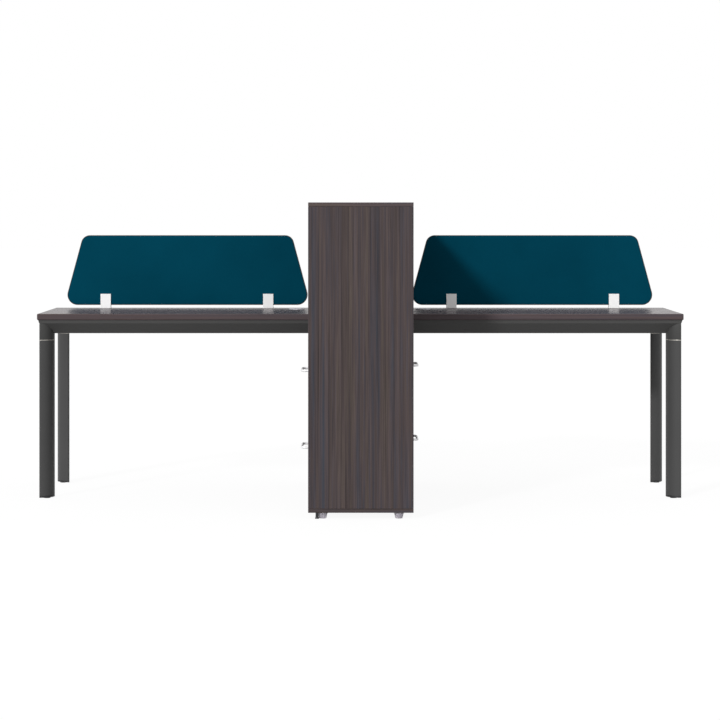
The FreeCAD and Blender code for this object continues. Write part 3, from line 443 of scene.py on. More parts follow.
@dataclass(frozen=True)
class WengeLaminate(Finish):
    """Dark streaked wood laminate with fine pores, edge-banded where the grain would end."""

    grain: Grain = Grain.UPRIGHT
    rough: float = 0.42
    shine: float = 0.18
    lift: float = 1.23
    relief: float = 0.03 * MM
    width: float = 1.0
    contrast: float = 1.0
    # A factor on the colour of the faces across the grain; above 1 it paints a highlight on them.
    band: float = 1.0
    pore_share: float = 0.22
    pore_rough: float = 0.03
    hair_relief_share: float = 0.4
    smudge_reach: Flat = (0.35, 0.65)

    def grained(self, graph: Graph, axis: int, cross: float, long: float) -> Socket:
        """Stretches the place along one axis.

        Args:
            graph: The material.
            axis: The axis along which the grain runs.
            cross: The frequency across the grain, per metre.
            long: The frequency along the grain, per metre.

        Returns:
            The stretched place.
        """
        scale = [cross, cross, cross]
        scale[axis] = long
        return graph.stretch(graph.place(), scale)

    def print_layer(self, graph: Graph, ends: Socket, layer: GrainLayer, width: float = 1.0) -> Socket:
        """Adds one layer of grain that turns where the board's end is banded.

        Args:
            graph: The material.
            ends: 1 on the faces across the grain.
            layer: The layer.
            width: A factor on its frequency across the grain.

        Returns:
            The layer's value.
        """
        other = Grain.DEEP if self.grain is Grain.ACROSS else Grain.ACROSS
        main, band = (self.grained(graph, way.value, layer.cross * width, layer.long)
                      for way in (self.grain, other))
        return graph.noise(graph.pick(ends, main, band), 1.0, layer.detail, layer.rough, layer.warp)

    def tone(self, graph: Graph, hue: Socket) -> Socket:
        """Colours the wood's bands.

        Args:
            graph: The material.
            hue: The value of the layer that sets the hue.

        Returns:
            The colour.
        """
        narrowed = graph.span(hue, 0.0, 1.0, 0.5 - 0.5 * self.contrast, 0.5 + 0.5 * self.contrast)
        stops = [(share, tuple(channel * self.lift for channel in colour)) for share, colour in WENGE_TONES]
        return graph.ramp(narrowed, stops)

    def build(self) -> bpy.types.Material:
        """Builds the laminate.

        Returns:
            The material.
        """
        graph = Graph(self.name)
        normal = graph.add("ShaderNodeSeparateXYZ", Vector=graph.coords.outputs["Normal"])
        along = graph.math("ABSOLUTE", normal.outputs[self.grain.value])
        ends = graph.math("GREATER_THAN", along, END_GRAIN_SHARE)
        hairs = self.print_layer(graph, ends, HAIRS)
        shaded = [(layer, self.print_layer(graph, ends, layer, self.width))
                  for layer in (BROAD_BANDS, STREAKS, THIN_LINES)]
        # The faces across the grain take the band factor; above 1 this is a painted highlight.
        value = graph.span(ends, 0.0, 1.0, 1.0, self.band)
        for layer, printed in [*shaded, (HAIRS, hairs)]:
            factor = graph.span(printed, layer.low, layer.high, 1 - layer.darker * self.contrast,
                                1 + layer.lighter * self.contrast)
            value = graph.math("MULTIPLY", value, factor)
        shade = graph.add("ShaderNodeCombineColor", Red=value, Green=value, Blue=value)
        tone = self.tone(graph, self.print_layer(graph, ends, HUE_BANDS, self.width))
        colour = graph.blend(1.0, tone, shade.outputs[0], "MULTIPLY")
        pore = graph.span(self.print_layer(graph, ends, PORES), PORES.low, PORES.high, 0.0, 1.0)
        filled = graph.math("MULTIPLY", pore, self.pore_share * self.contrast)
        colour = graph.blend(filled, colour, PORE_COLOUR)
        smudge = graph.noise(graph.place(), scale=5.0, detail=4.0, rough=0.6)
        rough = graph.math("ADD", graph.vary(smudge, self.rough, swing=0.05, reach=self.smudge_reach),
                           graph.math("MULTIPLY", pore, self.pore_rough))
        height = graph.math("SUBTRACT", graph.math("MULTIPLY", hairs, self.hair_relief_share), pore)
        graph.set(Base_Color=colour, Roughness=rough, Specular_IOR_Level=self.shine,
                  Normal=graph.bump(height, self.relief, strength=0.6))
        return graph.material


@dataclass(frozen=True)
class PowderCoat(Finish):
    """Fine-textured paint on metal, with a faint peel and light specks."""

    colour: Colour = (0.04, 0.04, 0.04)
    rough: float = 0.42
    metal: float = 0.0
    shine: float = 0.5
    peel_depth: float = 0.004 * MM
    speck_gain: float = 1.5
    speck_share: float = 0.06
    speck_reach: Flat = (0.55, 0.75)

    def build(self) -> bpy.types.Material:
        """Builds the paint.

        Returns:
            The material.
        """
        graph = Graph(self.name)
        cloud = graph.noise(graph.place(), scale=9.0, detail=3.0, rough=0.55)
        speck = graph.noise(graph.place(), scale=2600.0, detail=2.0, rough=0.6)
        peel = graph.noise(graph.place(), scale=900.0, detail=2.0, rough=0.5)
        shade = graph.mottle(cloud, self.colour, darkest=0.975, lightest=1.02)
        specks = graph.span(speck, *self.speck_reach, 0.0, self.speck_share)
        shade = graph.blend(specks, shade, scaled(self.colour, self.speck_gain))
        graph.set(Base_Color=shade, Metallic=self.metal, Specular_IOR_Level=self.shine,
                  Roughness=graph.vary(cloud, self.rough, swing=0.04),
                  Normal=graph.bump(peel, self.peel_depth, strength=0.4))
        return graph.material


@dataclass(frozen=True)
class BrightMetal(Finish):
    """Plated or brushed metal with fine scratches and a faint haze."""

    colour: Colour = (0.8, 0.8, 0.82)
    rough: float = 0.16
    metal: float = 1.0
    scratch: Place = (900.0, 900.0, 900.0)
    scratch_depth: float = 0.01 * MM
    scratch_rough_share: float = 0.5
    haze_rough_shares: Flat = (0.6, 0.95)

    def build(self) -> bpy.types.Material:
        """Builds the metal.

        Returns:
            The material.
        """
        graph = Graph(self.name)
        lines = graph.noise(graph.stretch(graph.place(), self.scratch), detail=3.0, rough=0.7)
        haze = graph.noise(graph.place(), scale=40.0, detail=3.0, rough=0.6)
        hazed = graph.span(haze, *NOISE_RANGE, *(self.rough * share for share in self.haze_rough_shares))
        rough = graph.math("MULTIPLY_ADD", lines, self.rough * self.scratch_rough_share, hazed)
        graph.set(Base_Color=graph.mottle(haze, self.colour, darkest=0.93, lightest=1.03),
                  Metallic=self.metal, Roughness=rough,
                  Normal=graph.bump(lines, self.scratch_depth, strength=0.5))
        return graph.material


@dataclass(frozen=True)
class ScreenFabric(Finish):
    """Plain-woven upholstery cloth stretched over a board."""

    dark: Colour = (0.0002, 0.040, 0.068)
    light: Colour = (0.0008, 0.062, 0.104)
    thread_width: float = 1.1 * MM
    thread_depth: float = 0.12 * MM
    heather: Place = (700.0, 700.0, 700.0)
    jitter_share: float = 0.35
    heather_share: float = 0.45
    # These three set the painted shade in the hollows between threads.
    gap_reach: Flat = (0.2, 0.6)
    gap_share: float = 0.35
    gap_gain: float = 0.6

    def build(self) -> bpy.types.Material:
        """Builds the cloth, its threads along X and Z.

        Returns:
            The material.
        """
        graph = Graph(self.name)
        scale = math.pi / (WAVE_RATE * self.thread_width)
        warp, weft = (graph.wave(graph.place(), axis, scale) for axis in ("X", "Z"))
        weave = graph.math("MULTIPLY", graph.math("ADD", warp, weft), 0.5)
        jitter = graph.noise(graph.place(), scale=260.0, detail=2.0, rough=0.5)
        thread = graph.join(jitter, weave, self.jitter_share)
        heather = graph.noise(graph.stretch(graph.place(), self.heather), detail=3.0, rough=0.7)
        cloud = graph.noise(graph.place(), scale=3.0, detail=3.0, rough=0.5)
        mixed = graph.join(heather, cloud, self.heather_share)
        colour = graph.ramp(mixed, ((NOISE_RANGE[0], self.dark), (NOISE_RANGE[1], self.light)))
        # Painted shade: the hollows between threads are darkened towards the dark teal.
        gap_shade = graph.span(thread, *self.gap_reach, self.gap_share, 0.0)
        graph.set(Base_Color=graph.blend(gap_shade, colour, scaled(self.dark, self.gap_gain)), Roughness=0.95,
                  Specular_IOR_Level=0.02, Normal=graph.bump(thread, self.thread_depth, strength=0.4))
        return graph.material


@dataclass(frozen=True)
class MouldedPlastic(Finish):
    """Moulded plastic with a fine spark-eroded grain and lightly scuffed edges."""

    colour: Colour = (0.02, 0.02, 0.02)
    rough: float = 0.5
    clear: float = 0.0
    index: float = 1.47
    grain_depth: float = 0.03 * MM
    scuff_reach: Flat = (0.51, 0.58)
    scuff_share: float = 0.25
    scuff_gain: float = 1.7
    scuff_haze: float = 0.02

    def build(self) -> bpy.types.Material:
        """Builds the plastic.

        Returns:
            The material.
        """
        graph = Graph(self.name)
        cloud = graph.noise(graph.place(), scale=30.0, detail=2.0, rough=0.5)
        grain = graph.noise(graph.place(), scale=2200.0, detail=2.0, rough=0.6)
        tint = graph.mottle(cloud, self.colour, darkest=0.93, lightest=1.06)
        scuff = tuple(min(1.0, channel * self.scuff_gain + self.scuff_haze) for channel in self.colour)
        scuffed = graph.math("MULTIPLY", graph.wear(*self.scuff_reach), self.scuff_share)
        graph.set(Base_Color=graph.blend(scuffed, tint, scuff),
                  Roughness=graph.vary(grain, self.rough, swing=0.15), Transmission_Weight=self.clear,
                  IOR=self.index, Normal=graph.bump(grain, self.grain_depth, strength=0.4))
        return graph.material


@dataclass(frozen=True)
class MelamineBoard(Finish):
    """Pale melamine-faced board with a faint linen print."""

    colour: Colour = (0.50, 0.48, 0.44)
    linen_scale: float = 90.0
    linen_depth: float = 0.02 * MM
    fleck_share: float = 0.5
    mottle_reach: Flat = (0.35, 0.65)
    rough_range: Flat = (0.46, 0.56)

    def build(self) -> bpy.types.Material:
        """Builds the melamine.

        Returns:
            The material.
        """
        graph = Graph(self.name)
        linen = graph.math("ADD", *(graph.wave(graph.place(), axis, self.linen_scale) for axis in ("X", "Z")))
        cloud = graph.noise(graph.place(), scale=14.0, detail=3.0, rough=0.6)
        fleck = graph.noise(graph.place(), scale=900.0, detail=2.0, rough=0.6)
        mixed = graph.join(fleck, cloud, self.fleck_share)
        graph.set(Base_Color=graph.mottle(mixed, self.colour, 0.92, 1.05, self.mottle_reach),
                  Roughness=graph.span(cloud, *NOISE_RANGE, *self.rough_range),
                  Normal=graph.bump(linen, self.linen_depth, strength=0.4))
        return graph.material


UPRIGHT_WOOD = WengeLaminate("wenge_upright", "cabinet_laminate", Grain.UPRIGHT)
DEEP_WOOD = WengeLaminate("wenge_deep", "cabinet_laminate", Grain.DEEP)
# Painted highlight: the top board's banded edges are painted lighter by band, for light falling on them from
# above.
CAP_WOOD_PAINTED_HIGHLIGHT = WengeLaminate("wenge_top_board", "cabinet_laminate", Grain.DEEP, band=1.12)
TOP_WOOD = WengeLaminate("wenge_worktop", "worktop_laminate", Grain.ACROSS, rough=0.27, shine=0.07, lift=1.75,
                         relief=0.0003 * MM, width=0.9, contrast=0.36)
FRAME_PAINT = PowderCoat("graphite_frame_paint", "frame_paint", (0.0775, 0.077, 0.076),
                         rough=0.45, shine=0.18)
LEG_PAINT = PowderCoat("graphite_leg_paint", "leg_paint", (0.071, 0.071, 0.071),
                       rough=0.45, metal=0.05, shine=0.13)
# Painted shade: the castings under the worktop take a darker copy of the frame's graphite paint.
CASTING_PAINT_SHADED = PowderCoat("graphite_casting_paint", "frame_paint", (0.062, 0.062, 0.061),
                           rough=0.45, shine=0.16)
WHITE_PAINT = PowderCoat("white_shoe_paint", "white_paint", (0.93, 0.93, 0.93), rough=0.38, shine=0.4)
CHROME = BrightMetal("handle_chrome", "handle_chrome", (0.90, 0.90, 0.91), rough=0.38, metal=0.35)
RING_CHROME = BrightMetal("ring_chrome", "ring_chrome", (0.50, 0.48, 0.44), rough=0.45, metal=0.7,
                          scratch=(60.0, 60.0, 4000.0))
ZINC = BrightMetal("zinc_plate", "zinc_steel", (0.60, 0.61, 0.63), rough=0.34, scratch=(40.0, 1500.0, 1500.0))
FABRIC = ScreenFabric("teal_screen_cloth", "screen_teal")
SCREEN_TRIM = MouldedPlastic("screen_edge_trim", "screen_teal", (0.055, 0.052, 0.050), rough=0.45)
BLACK_PLASTIC = MouldedPlastic("black_plastic", "black_plastic", (0.010, 0.010, 0.011), rough=0.48)
FROSTED_PLASTIC = MouldedPlastic("frosted_foot_plastic", "clear_plastic", (0.72, 0.68, 0.76),
                                 rough=0.26, clear=0.55)
GROMMET_PLASTIC = MouldedPlastic("grommet_plastic", "grommet_plastic", (0.62, 0.60, 0.65), rough=0.40)
DRAWER_BOARD = MelamineBoard("drawer_melamine", "drawer_board")


# Outlines, in metres

LEAF_STEPS = 22
TIP_STEPS = 6
DISC_STEPS = 56
SLOT_STEPS = 14
# Keeps the inset of a very sharp corner from running away.
LEAST_INSET_SHARE = 0.35


def arc(centre: Flat, radius: float, start: float, end: float, steps: int) -> list[Flat]:
    """Lists points along an arc.

    Args:
        centre: The arc's centre.
        radius: Its radius.
        start: Its first angle, in degrees.
        end: Its last angle, in degrees.
        steps: How many pieces it is cut into.

    Returns:
        The points, both ends included.
    """
    points = []
    for index in range(steps + 1):
        angle = math.radians(start + (end - start) * index / steps)
        points.append((centre[0] + radius * math.cos(angle), centre[1] + radius * math.sin(angle)))
    return points


def round_corners(corners: Sequence[Flat], radii: Sequence[float], steps: int) -> list[Flat]:
    """Rounds the corners of an outline drawn anticlockwise.

    Args:
        corners: The sharp corners.
        radii: The radius at each corner.
        steps: How many pieces each round is cut into.

    Returns:
        The rounded outline.
    """
    points: list[Flat] = []
    count = len(corners)
    for index, radius in enumerate(radii):
        here = Vector(corners[index])
        back = (Vector(corners[index - 1]) - here).normalized()
        ahead = (Vector(corners[(index + 1) % count]) - here).normalized()
        half = math.acos(max(-1.0, min(1.0, back.dot(ahead)))) / 2
        centre = here + (back + ahead).normalized() * (radius / math.sin(half))
        first = here + back * (radius / math.tan(half)) - centre
        start = math.degrees(math.atan2(first.y, first.x))
        points += arc((centre.x, centre.y), radius, start, start + 180.0 - math.degrees(2 * half), steps)
    return points


def inset(points: Sequence[Flat], distance: float) -> list[Flat]:
    """Moves an anticlockwise outline inwards.

    Args:
        points: The outline.
        distance: How far it moves.

    Returns:
        The smaller outline, point for point.
    """
    count = len(points)
    moved = []
    for index in range(count):
        here = Vector(points[index])
        before = (here - Vector(points[index - 1])).normalized()
        after = (Vector(points[(index + 1) % count]) - here).normalized()
        first = Vector((-before.y, before.x))
        second = Vector((-after.y, after.x))
        middle = (first + second).normalized()
        here += middle * (distance / max(LEAST_INSET_SHARE, middle.dot(first)))
        moved.append((here.x, here.y))
    return moved


def leaf(width: float, inward: float, tip: float) -> list[Flat]:
    """Draws the leg's leaf section, its tips at the low and the high corner of a square.

    Args:
        width: The square's side.
        inward: How far the outline is set in.
        tip: The radius at the tips.

    Returns:
        The outline, anticlockwise.
    """
    radius = width - inward
    reach = radius - tip
    near = (width - math.sqrt(2 * reach * reach - width * width)) / 2
    far = width - near
    side = math.degrees(math.atan2(near, near - width))
    turn = math.degrees(math.atan2(far - width, far))
    low_side = arc((0.0, width), radius, 90.0 - side, side - 180.0, LEAF_STEPS)
    far_tip = arc((far, far), tip, turn, 90.0 - turn, TIP_STEPS)[1:-1]
    high_side = arc((width, 0.0), radius, 270.0 - side, side, LEAF_STEPS)
    near_tip = arc((near, near), tip, side, 450.0 - side, TIP_STEPS)[1:-1]
    return low_side + far_tip + high_side + near_tip


def slotted_disc(radius: float, half: float, depth: float) -> list[Flat]:
    """Draws a disc with a round-ended slot cut in from its +Y side.

    Args:
        radius: The disc's radius.
        half: Half the slot's width.
        depth: How far the slot reaches in from the rim.

    Returns:
        The outline, anticlockwise.
    """
    edge = math.degrees(math.asin(half / radius))
    rim = arc((0.0, 0.0), radius, 90.0 + edge, 450.0 - edge, DISC_STEPS)
    floor = arc((0.0, radius - depth + half), half, 0.0, -180.0, SLOT_STEPS)
    return rim + floor


def from_corner(radius: float, height: float, steps: Iterable[Flat]) -> list[Flat]:
    """Places points of a turned profile from one corner of it.

    Args:
        radius: The corner's radius.
        height: The corner's height.
        steps: How far each point lies outwards and upwards of the corner, in millimetres.

    Returns:
        The points.
    """
    return [(radius + out * MM, height + up * MM) for out, up in steps]


def circle(radius: float, steps: int) -> list[Flat]:
    """Lists points round a circle about the origin."""
    turns = [math.tau * index / steps for index in range(steps)]
    return [(radius * math.cos(turn), radius * math.sin(turn)) for turn in turns]


def standing(x: float, y: float, z: float = 0.0) -> Lift:
    """Makes a lift for something that stands upright at a place."""
    return lambda u, v, height: Vector((x + u, y + v, z + height))


# Building meshes

RIM_STEPS = 3
SHARP_TURN = 32.0
# How a copy of a node is cleaned, rounded and shaded: lengths in metres, turns in degrees.
MERGE_DISTANCE = 1e-6
FLAT_TURN = 0.5
SHORTEST_ROUNDED = 0.010
ROUND_SEGMENTS = 3
ROUNDED_SHARP_TURN = 34.0
FACE_WEIGHT = 100


class Mesh:
    """A mesh under construction, in metres, in the part's own frame."""

    def __init__(self) -> None:
        """Starts an empty mesh."""
        self.bm = bmesh.new()

    def loft(self, loops: Sequence[Sequence[Vector]], ring: bool = False) -> "Mesh":
        """Joins loops of equally many points by a skin.

        Args:
            loops: The loops, in order.
            ring: Whether the last loop runs on into the first; otherwise both ends are closed.

        Returns:
            The same mesh.
        """
        made = [[self.bm.verts.new(point) for point in loop] for loop in loops]
        pairs = list(zip(made, made[1:]))
        if ring:
            pairs.append((made[-1], made[0]))
        for low, high in pairs:
            count = len(low)
            for index in range(count):
                after = (index + 1) % count
                self.bm.faces.new((low[index], low[after], high[after], high[index]))
        if not ring:
            self.bm.faces.new(list(reversed(made[0])))
            self.bm.faces.new(made[-1])
        return self

    def stack(self, rings: Iterable[tuple[Sequence[Flat], float]], lift: Lift, ring: bool = False) -> "Mesh":
        """Joins flat outlines at their heights by a skin.

        Args:
            rings: The outlines, each with its height.
            lift: Puts them in their place.
            ring: Whether the last outline runs on into the first; otherwise both ends are closed.

        Returns:
            The same mesh.
        """
        return self.loft([[lift(x, y, height) for x, y in outline] for outline, height in rings], ring)

    def prism(self, outline: Sequence[Flat], low: float, high: float, soft: float, lift: Lift) -> "Mesh":
        """Adds a solid of one outline with softened rims.

        Args:
            outline: The outline, anticlockwise.
            low: Where it starts along its own axis.
            high: Where it ends.
            soft: The radius at its rims.
            lift: Puts it in its place.

        Returns:
            The same mesh.
        """
        levels = []
        for index in range(RIM_STEPS + 1):
            angle = math.pi / 2 * index / RIM_STEPS
            levels.append((soft * (1 - math.sin(angle)), low + soft * (1 - math.cos(angle))))
        levels += [(step, low + high - height) for step, height in reversed(levels)]
        return self.stack([(inset(outline, step), height) for step, height in levels], lift)

    def tube(self, outer: Sequence[Flat], inner: Sequence[Flat], low: float, high: float, soft: float,
             lift: Lift) -> "Mesh":
        """Adds a hollow length of section, its outer rims softened.

        Args:
            outer: The outer outline.
            inner: The inner outline, with as many points.
            low: Where it starts.
            high: Where it ends.
            soft: The radius at its outer rims.
            lift: Puts it in its place.

        Returns:
            The same mesh.
        """
        rings = [(inner, low), (inset(outer, soft), low), (outer, low + soft), (outer, high - soft),
                 (inset(outer, soft), high), (inner, high)]
        return self.stack(rings, lift, ring=True)

    def lathe(self, profile: Sequence[Flat], lift: Lift, steps: int = 48, ring: bool = False) -> "Mesh":
        """Turns a profile about its own axis.

        Args:
            profile: Radii with their heights.
            lift: Puts it in its place.
            steps: How many pieces a turn is cut into.
            ring: Whether the profile closes on itself around a hole.

        Returns:
            The same mesh.
        """
        return self.stack([(circle(radius, steps), height) for radius, height in profile], lift, ring)

    def sweep(self, path: Sequence[Vector], radius: float, up: Vector, steps: int) -> "Mesh":
        """Draws a round rod along a flat path.

        Args:
            path: The rod's middle line.
            radius: The rod's radius.
            up: The direction square to the path's plane.
            steps: How many sides the rod has.

        Returns:
            The same mesh.
        """
        loops = []
        last = len(path) - 1
        for index, point in enumerate(path):
            ahead = (path[min(last, index + 1)] - path[max(0, index - 1)]).normalized()
            across = ahead.cross(up).normalized()
            loops.append([point + across * u + up * v for u, v in circle(radius, steps)])
        return self.loft(loops)

    def done(self, name: str, finish: Finish, body: str, stands_for: Iterable[str] = (),
             sharp: float = SHARP_TURN) -> bpy.types.Object:
        """Turns the mesh into a dressed piece that rides on a body.

        Args:
            name: The piece's name.
            finish: Its finish.
            body: The body it moves with.
            stands_for: The nodes that it replaces.
            sharp: The angle from which an edge stays sharp, in degrees.

        Returns:
            The piece.
        """
        bmesh.ops.recalc_face_normals(self.bm, faces=self.bm.faces)
        return dress(stand_up(name, self.bm), finish, body, stands_for, sharp)


def stand_up(name: str, bm: bmesh.types.BMesh) -> bpy.types.Object:
    """Turns a finished mesh into an object of the scene.

    Args:
        name: The object's name.
        bm: The mesh, which is freed.

    Returns:
        The object.
    """
    mesh = bpy.data.meshes.new(name)
    bm.to_mesh(mesh)
    bm.free()
    piece = bpy.data.objects.new(name, mesh)
    bpy.context.scene.collection.objects.link(piece)
    return piece


def dress(piece: bpy.types.Object, finish: Finish, body: str, stands_for: Iterable[str] = (),
          sharp: Optional[float] = SHARP_TURN) -> bpy.types.Object:
    """Gives a piece its finish, its smooth shading and its body.

    Args:
        piece: The piece.
        finish: Its finish.
        body: The body it moves with.
        stands_for: The nodes that it replaces.
        sharp: The angle from which an edge stays sharp, in degrees, or None if its shading is set already.

    Returns:
        The piece.
    """
    mesh = piece.data
    mesh.materials.clear()
    mesh.materials.append(material_of(finish))
    if sharp is not None:
        for polygon in mesh.polygons:
            polygon.use_smooth = True
        mesh.set_sharp_from_angle(angle=math.radians(sharp))
    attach(piece, body)
    for node in stands_for:
        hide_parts(node)
    log.info("%s: %d faces, %s", piece.name, len(mesh.polygons), finish.name)
    return piece


def body_of(node: str) -> str:
    """Gives the body that a node belongs to."""
    return frame["nodes"][node]["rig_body"]


def settle(piece: bpy.types.Object) -> None:
    """Turns a piece's modifiers into its mesh.

    Args:
        piece: The piece.
    """
    graph = bpy.context.evaluated_depsgraph_get()
    final = bpy.data.meshes.new_from_object(piece.evaluated_get(graph))
    piece.modifiers.clear()
    before = piece.data
    piece.data = final
    bpy.data.meshes.remove(before)
    final.name = piece.name


def soften(node: str, finish: Finish, radius: float, turn: float = 40.0) -> bpy.types.Object:
    """Stands a copy of a node in its place, with its long sharp edges rounded.

    Args:
        node: The node.
        finish: The copy's finish.
        radius: The radius of its edges.
        turn: The angle from which an edge counts as sharp, in degrees.

    Returns:
        The piece.
    """
    bm = bmesh.new()
    bm.from_mesh(frame["nodes"][node].data)
    bmesh.ops.remove_doubles(bm, verts=bm.verts, dist=MERGE_DISTANCE)
    bmesh.ops.dissolve_limit(bm, angle_limit=math.radians(FLAT_TURN), verts=bm.verts, edges=bm.edges)
    weights = bm.edges.layers.float.new("bevel_weight_edge")
    for edge in bm.edges:
        turned = len(edge.link_faces) == 2 and edge.calc_face_angle(0.0) > math.radians(turn)
        if turned and edge.calc_length() > SHORTEST_ROUNDED:
            edge[weights] = 1.0
    for face in bm.faces:
        face.smooth = True
    piece = stand_up(node + "_rounded", bm)
    bevel = piece.modifiers.new("round", "BEVEL")
    bevel.width = radius
    bevel.segments = ROUND_SEGMENTS
    bevel.limit_method = "WEIGHT"
    settle(piece)
    piece.data.set_sharp_from_angle(angle=math.radians(ROUNDED_SHARP_TURN))
    flat = piece.modifiers.new("flat", "WEIGHTED_NORMAL")
    flat.keep_sharp = True
    flat.weight = FACE_WEIGHT
    settle(piece)
    return dress(piece, finish, body_of(node), [node], None)


# The cabinet


@dataclass
class Cabinet:
    """The tall double-sided cabinet between the desks."""

    edge: float = 1.3 * MM
    pin_edge: float = 0.3 * MM
    runner_edge: float = 0.25 * MM
    foot_height: float = 23 * MM
    foot_top: float = 20 * MM
    foot_floor: float = 14 * MM
    foot_reach: Flat = (0.145, 0.575)
    glide_place: Flat = (-0.166, -0.591)
    glide_base: float = 8 * MM
    glide_stem: float = 6 * MM
    glide_sides: int = 32
    upright_nodes: Sequence[str] = ("front_end_panel", "front_divider", "middle_divider", "rear_divider",
                                    "rear_end_panel", "left_side_panels", "right_side_panels")
    deep_nodes: Sequence[str] = ("cabinet_base", "drawer_bay_shelves",
                                 "worktop_level_shelves", "adjustable_shelves")
    # Profiles, in millimetres outwards and upwards of a corner of the foot or the glide.
    foot_pad: Sequence[Flat] = ((-4.0, 0.8), (-3.2, 0.0), (-1.0, 0.0), (-0.2, 0.4), (0.0, 1.2))
    foot_collar: Sequence[Flat] = ((-2.2, -5.2), (-1.2, -4.6), (-0.2, -4.2), (0.0, -3.6), (0.0, -0.6),
                                   (-0.5, 0.0), (-9.0, 0.0))
    glide_pad: Sequence[Flat] = ((-2.0, 0.0), (-0.6, 0.15), (0.0, 0.9), (-0.2, 2.4))
    glide_neck: Sequence[Flat] = ((0.4, 5.2), (0.0, 6.4))
    glide_groove: Sequence[Flat] = ((0.0, -7.0), (-0.8, -6.6), (-0.8, -5.4), (0.0, -5.0))
    glide_top: Sequence[Flat] = ((0.0, -0.4), (-0.4, 0.0))

    def build(self) -> None:
        """Builds every fixed piece of the cabinet."""
        for node in self.upright_nodes:
            soften(node, UPRIGHT_WOOD, self.edge)
        for node in self.deep_nodes:
            soften(node, DEEP_WOOD, self.edge)
        soften("cabinet_top", CAP_WOOD_PAINTED_HIGHLIGHT, self.edge)
        soften("shelf_pins", ZINC, self.pin_edge)
        soften("cabinet_runners", ZINC, self.runner_edge)
        self.build_feet()
        self.build_glide()

    def build_feet(self) -> None:
        """Builds the six frosted feet as one piece, each with its collar and foot pad."""
        profile = from_corner(self.foot_floor, 0.0, self.foot_pad)
        profile += from_corner(self.foot_top, self.foot_height, self.foot_collar)
        mesh = Mesh()
        for x in (-self.foot_reach[0], self.foot_reach[0]):
            for y in (-self.foot_reach[1], 0.0, self.foot_reach[1]):
                mesh.lathe(profile, standing(x, y))
        mesh.done("cabinet_feet_turned", FROSTED_PLASTIC, ROOT, ["cabinet_feet"])

    def build_glide(self) -> None:
        """Builds the small black glide at the front left corner."""
        profile = from_corner(self.glide_base, 0.0, self.glide_pad)
        profile += from_corner(self.glide_stem, 0.0, self.glide_neck)
        profile += from_corner(self.glide_stem, self.foot_height, (*self.glide_groove, *self.glide_top))
        mesh = Mesh().lathe(profile, standing(*self.glide_place), self.glide_sides)
        mesh.done("corner_glide_turned", BLACK_PLASTIC, ROOT, ["corner_glide"])


@dataclass
class Drawer:
    """One drawer with its front, box, bow handle and runner members."""

    side: Side
    level: Level
    front_edge: float = 1.0 * MM
    box_edge: float = 0.8 * MM
    runner_edge: float = 0.25 * MM
    half_width: float = 0.200
    reach: float = 30 * MM
    rod: float = 4.5 * MM
    rod_sides: int = 28
    centres: float = 150 * MM
    bend: float = 14 * MM
    bend_steps: int = 9
    collar: float = 7.0 * MM
    collar_sides: int = 32
    screw_shank: float = 2.0 * MM
    screw_bite: float = 10 * MM
    screw_sides: int = 20
    # Profiles, in millimetres: outwards of the collar's rim or the rod, or of the screw's axis, and upwards.
    collar_rim: Sequence[Flat] = ((0.0, 0.0), (0.0, 0.8), (-0.7, 1.6))
    collar_throat: Sequence[Flat] = ((0.2, 2.4), (-0.3, 3.4))
    screw_head: Sequence[Flat] = ((1.2, 0.9), (1.6, 0.1), (2.8, 0.1), (3.8, 1.0), (4.0, 2.2), (4.0, 2.5))

    @property
    def name(self) -> str:
        """Gives the drawer's name as its nodes spell it."""
        return f"{self.level.word}_{self.side.word}"

    def build(self) -> None:
        """Builds the drawer's pieces."""
        soften(f"{self.name}_drawer_front", UPRIGHT_WOOD, self.front_edge)
        soften(f"{self.name}_drawer_box", DRAWER_BOARD, self.box_edge)
        soften(f"{self.name}_drawer_runners", ZINC, self.runner_edge)
        self.build_handle()

    def build_handle(self) -> None:
        """Builds the chromed bow, its collars and the two screws behind it."""
        node = f"{self.name}_handle"
        low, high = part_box(node)
        middle = (low.y + high.y) / 2
        z = (low.z + high.z) / 2
        sign = self.side.value
        half = self.centres / 2
        out = self.reach - self.rod
        inner = abs(low.x if sign > 0 else high.x)
        bow = [(0.0, half)] + arc((out - self.bend, half - self.bend), self.bend, 90.0, 0.0, self.bend_steps)
        bow += [(x, -y) for x, y in reversed(bow)]
        path = [Vector((sign * (self.half_width + x), middle + y, z)) for x, y in bow]
        mesh = Mesh().sweep(path, self.rod, Vector((0.0, 0.0, 1.0)), self.rod_sides)
        collar = from_corner(self.collar, 0.0, self.collar_rim)
        collar += from_corner(self.rod, 0.0, self.collar_throat)
        for y in (middle - half, middle + half):
            mesh.lathe(collar, self.pointing_out(self.half_width, y, z), self.collar_sides)
            mesh.lathe(self.screw_profile(inner), self.pointing_out(inner, y, z), self.screw_sides)
        mesh.done(f"{self.name}_bow_handle", CHROME, body_of(node), [node])

    def pointing_out(self, start: float, y: float, z: float) -> Lift:
        """Makes a lift for something that points out of the drawer's front.

        Args:
            start: Where it starts, off the middle plane.
            y: Its place along the cabinet.
            z: Its height.

        Returns:
            The lift.
        """
        sign = self.side.value
        return lambda u, v, height: Vector((sign * (start + height), y + u, z + v))

    def screw_profile(self, inner: float) -> list[Flat]:
        """Draws a handle screw from its head inside the drawer to its end in the bow.

        Args:
            inner: Where its head starts, off the middle plane.

        Returns:
            The profile.
        """
        head = from_corner(0.0, 0.0, self.screw_head)
        end = self.half_width + self.screw_bite - inner
        return head + [(self.screw_shank, head[-1][1]), (self.screw_shank, end)]


# The desks


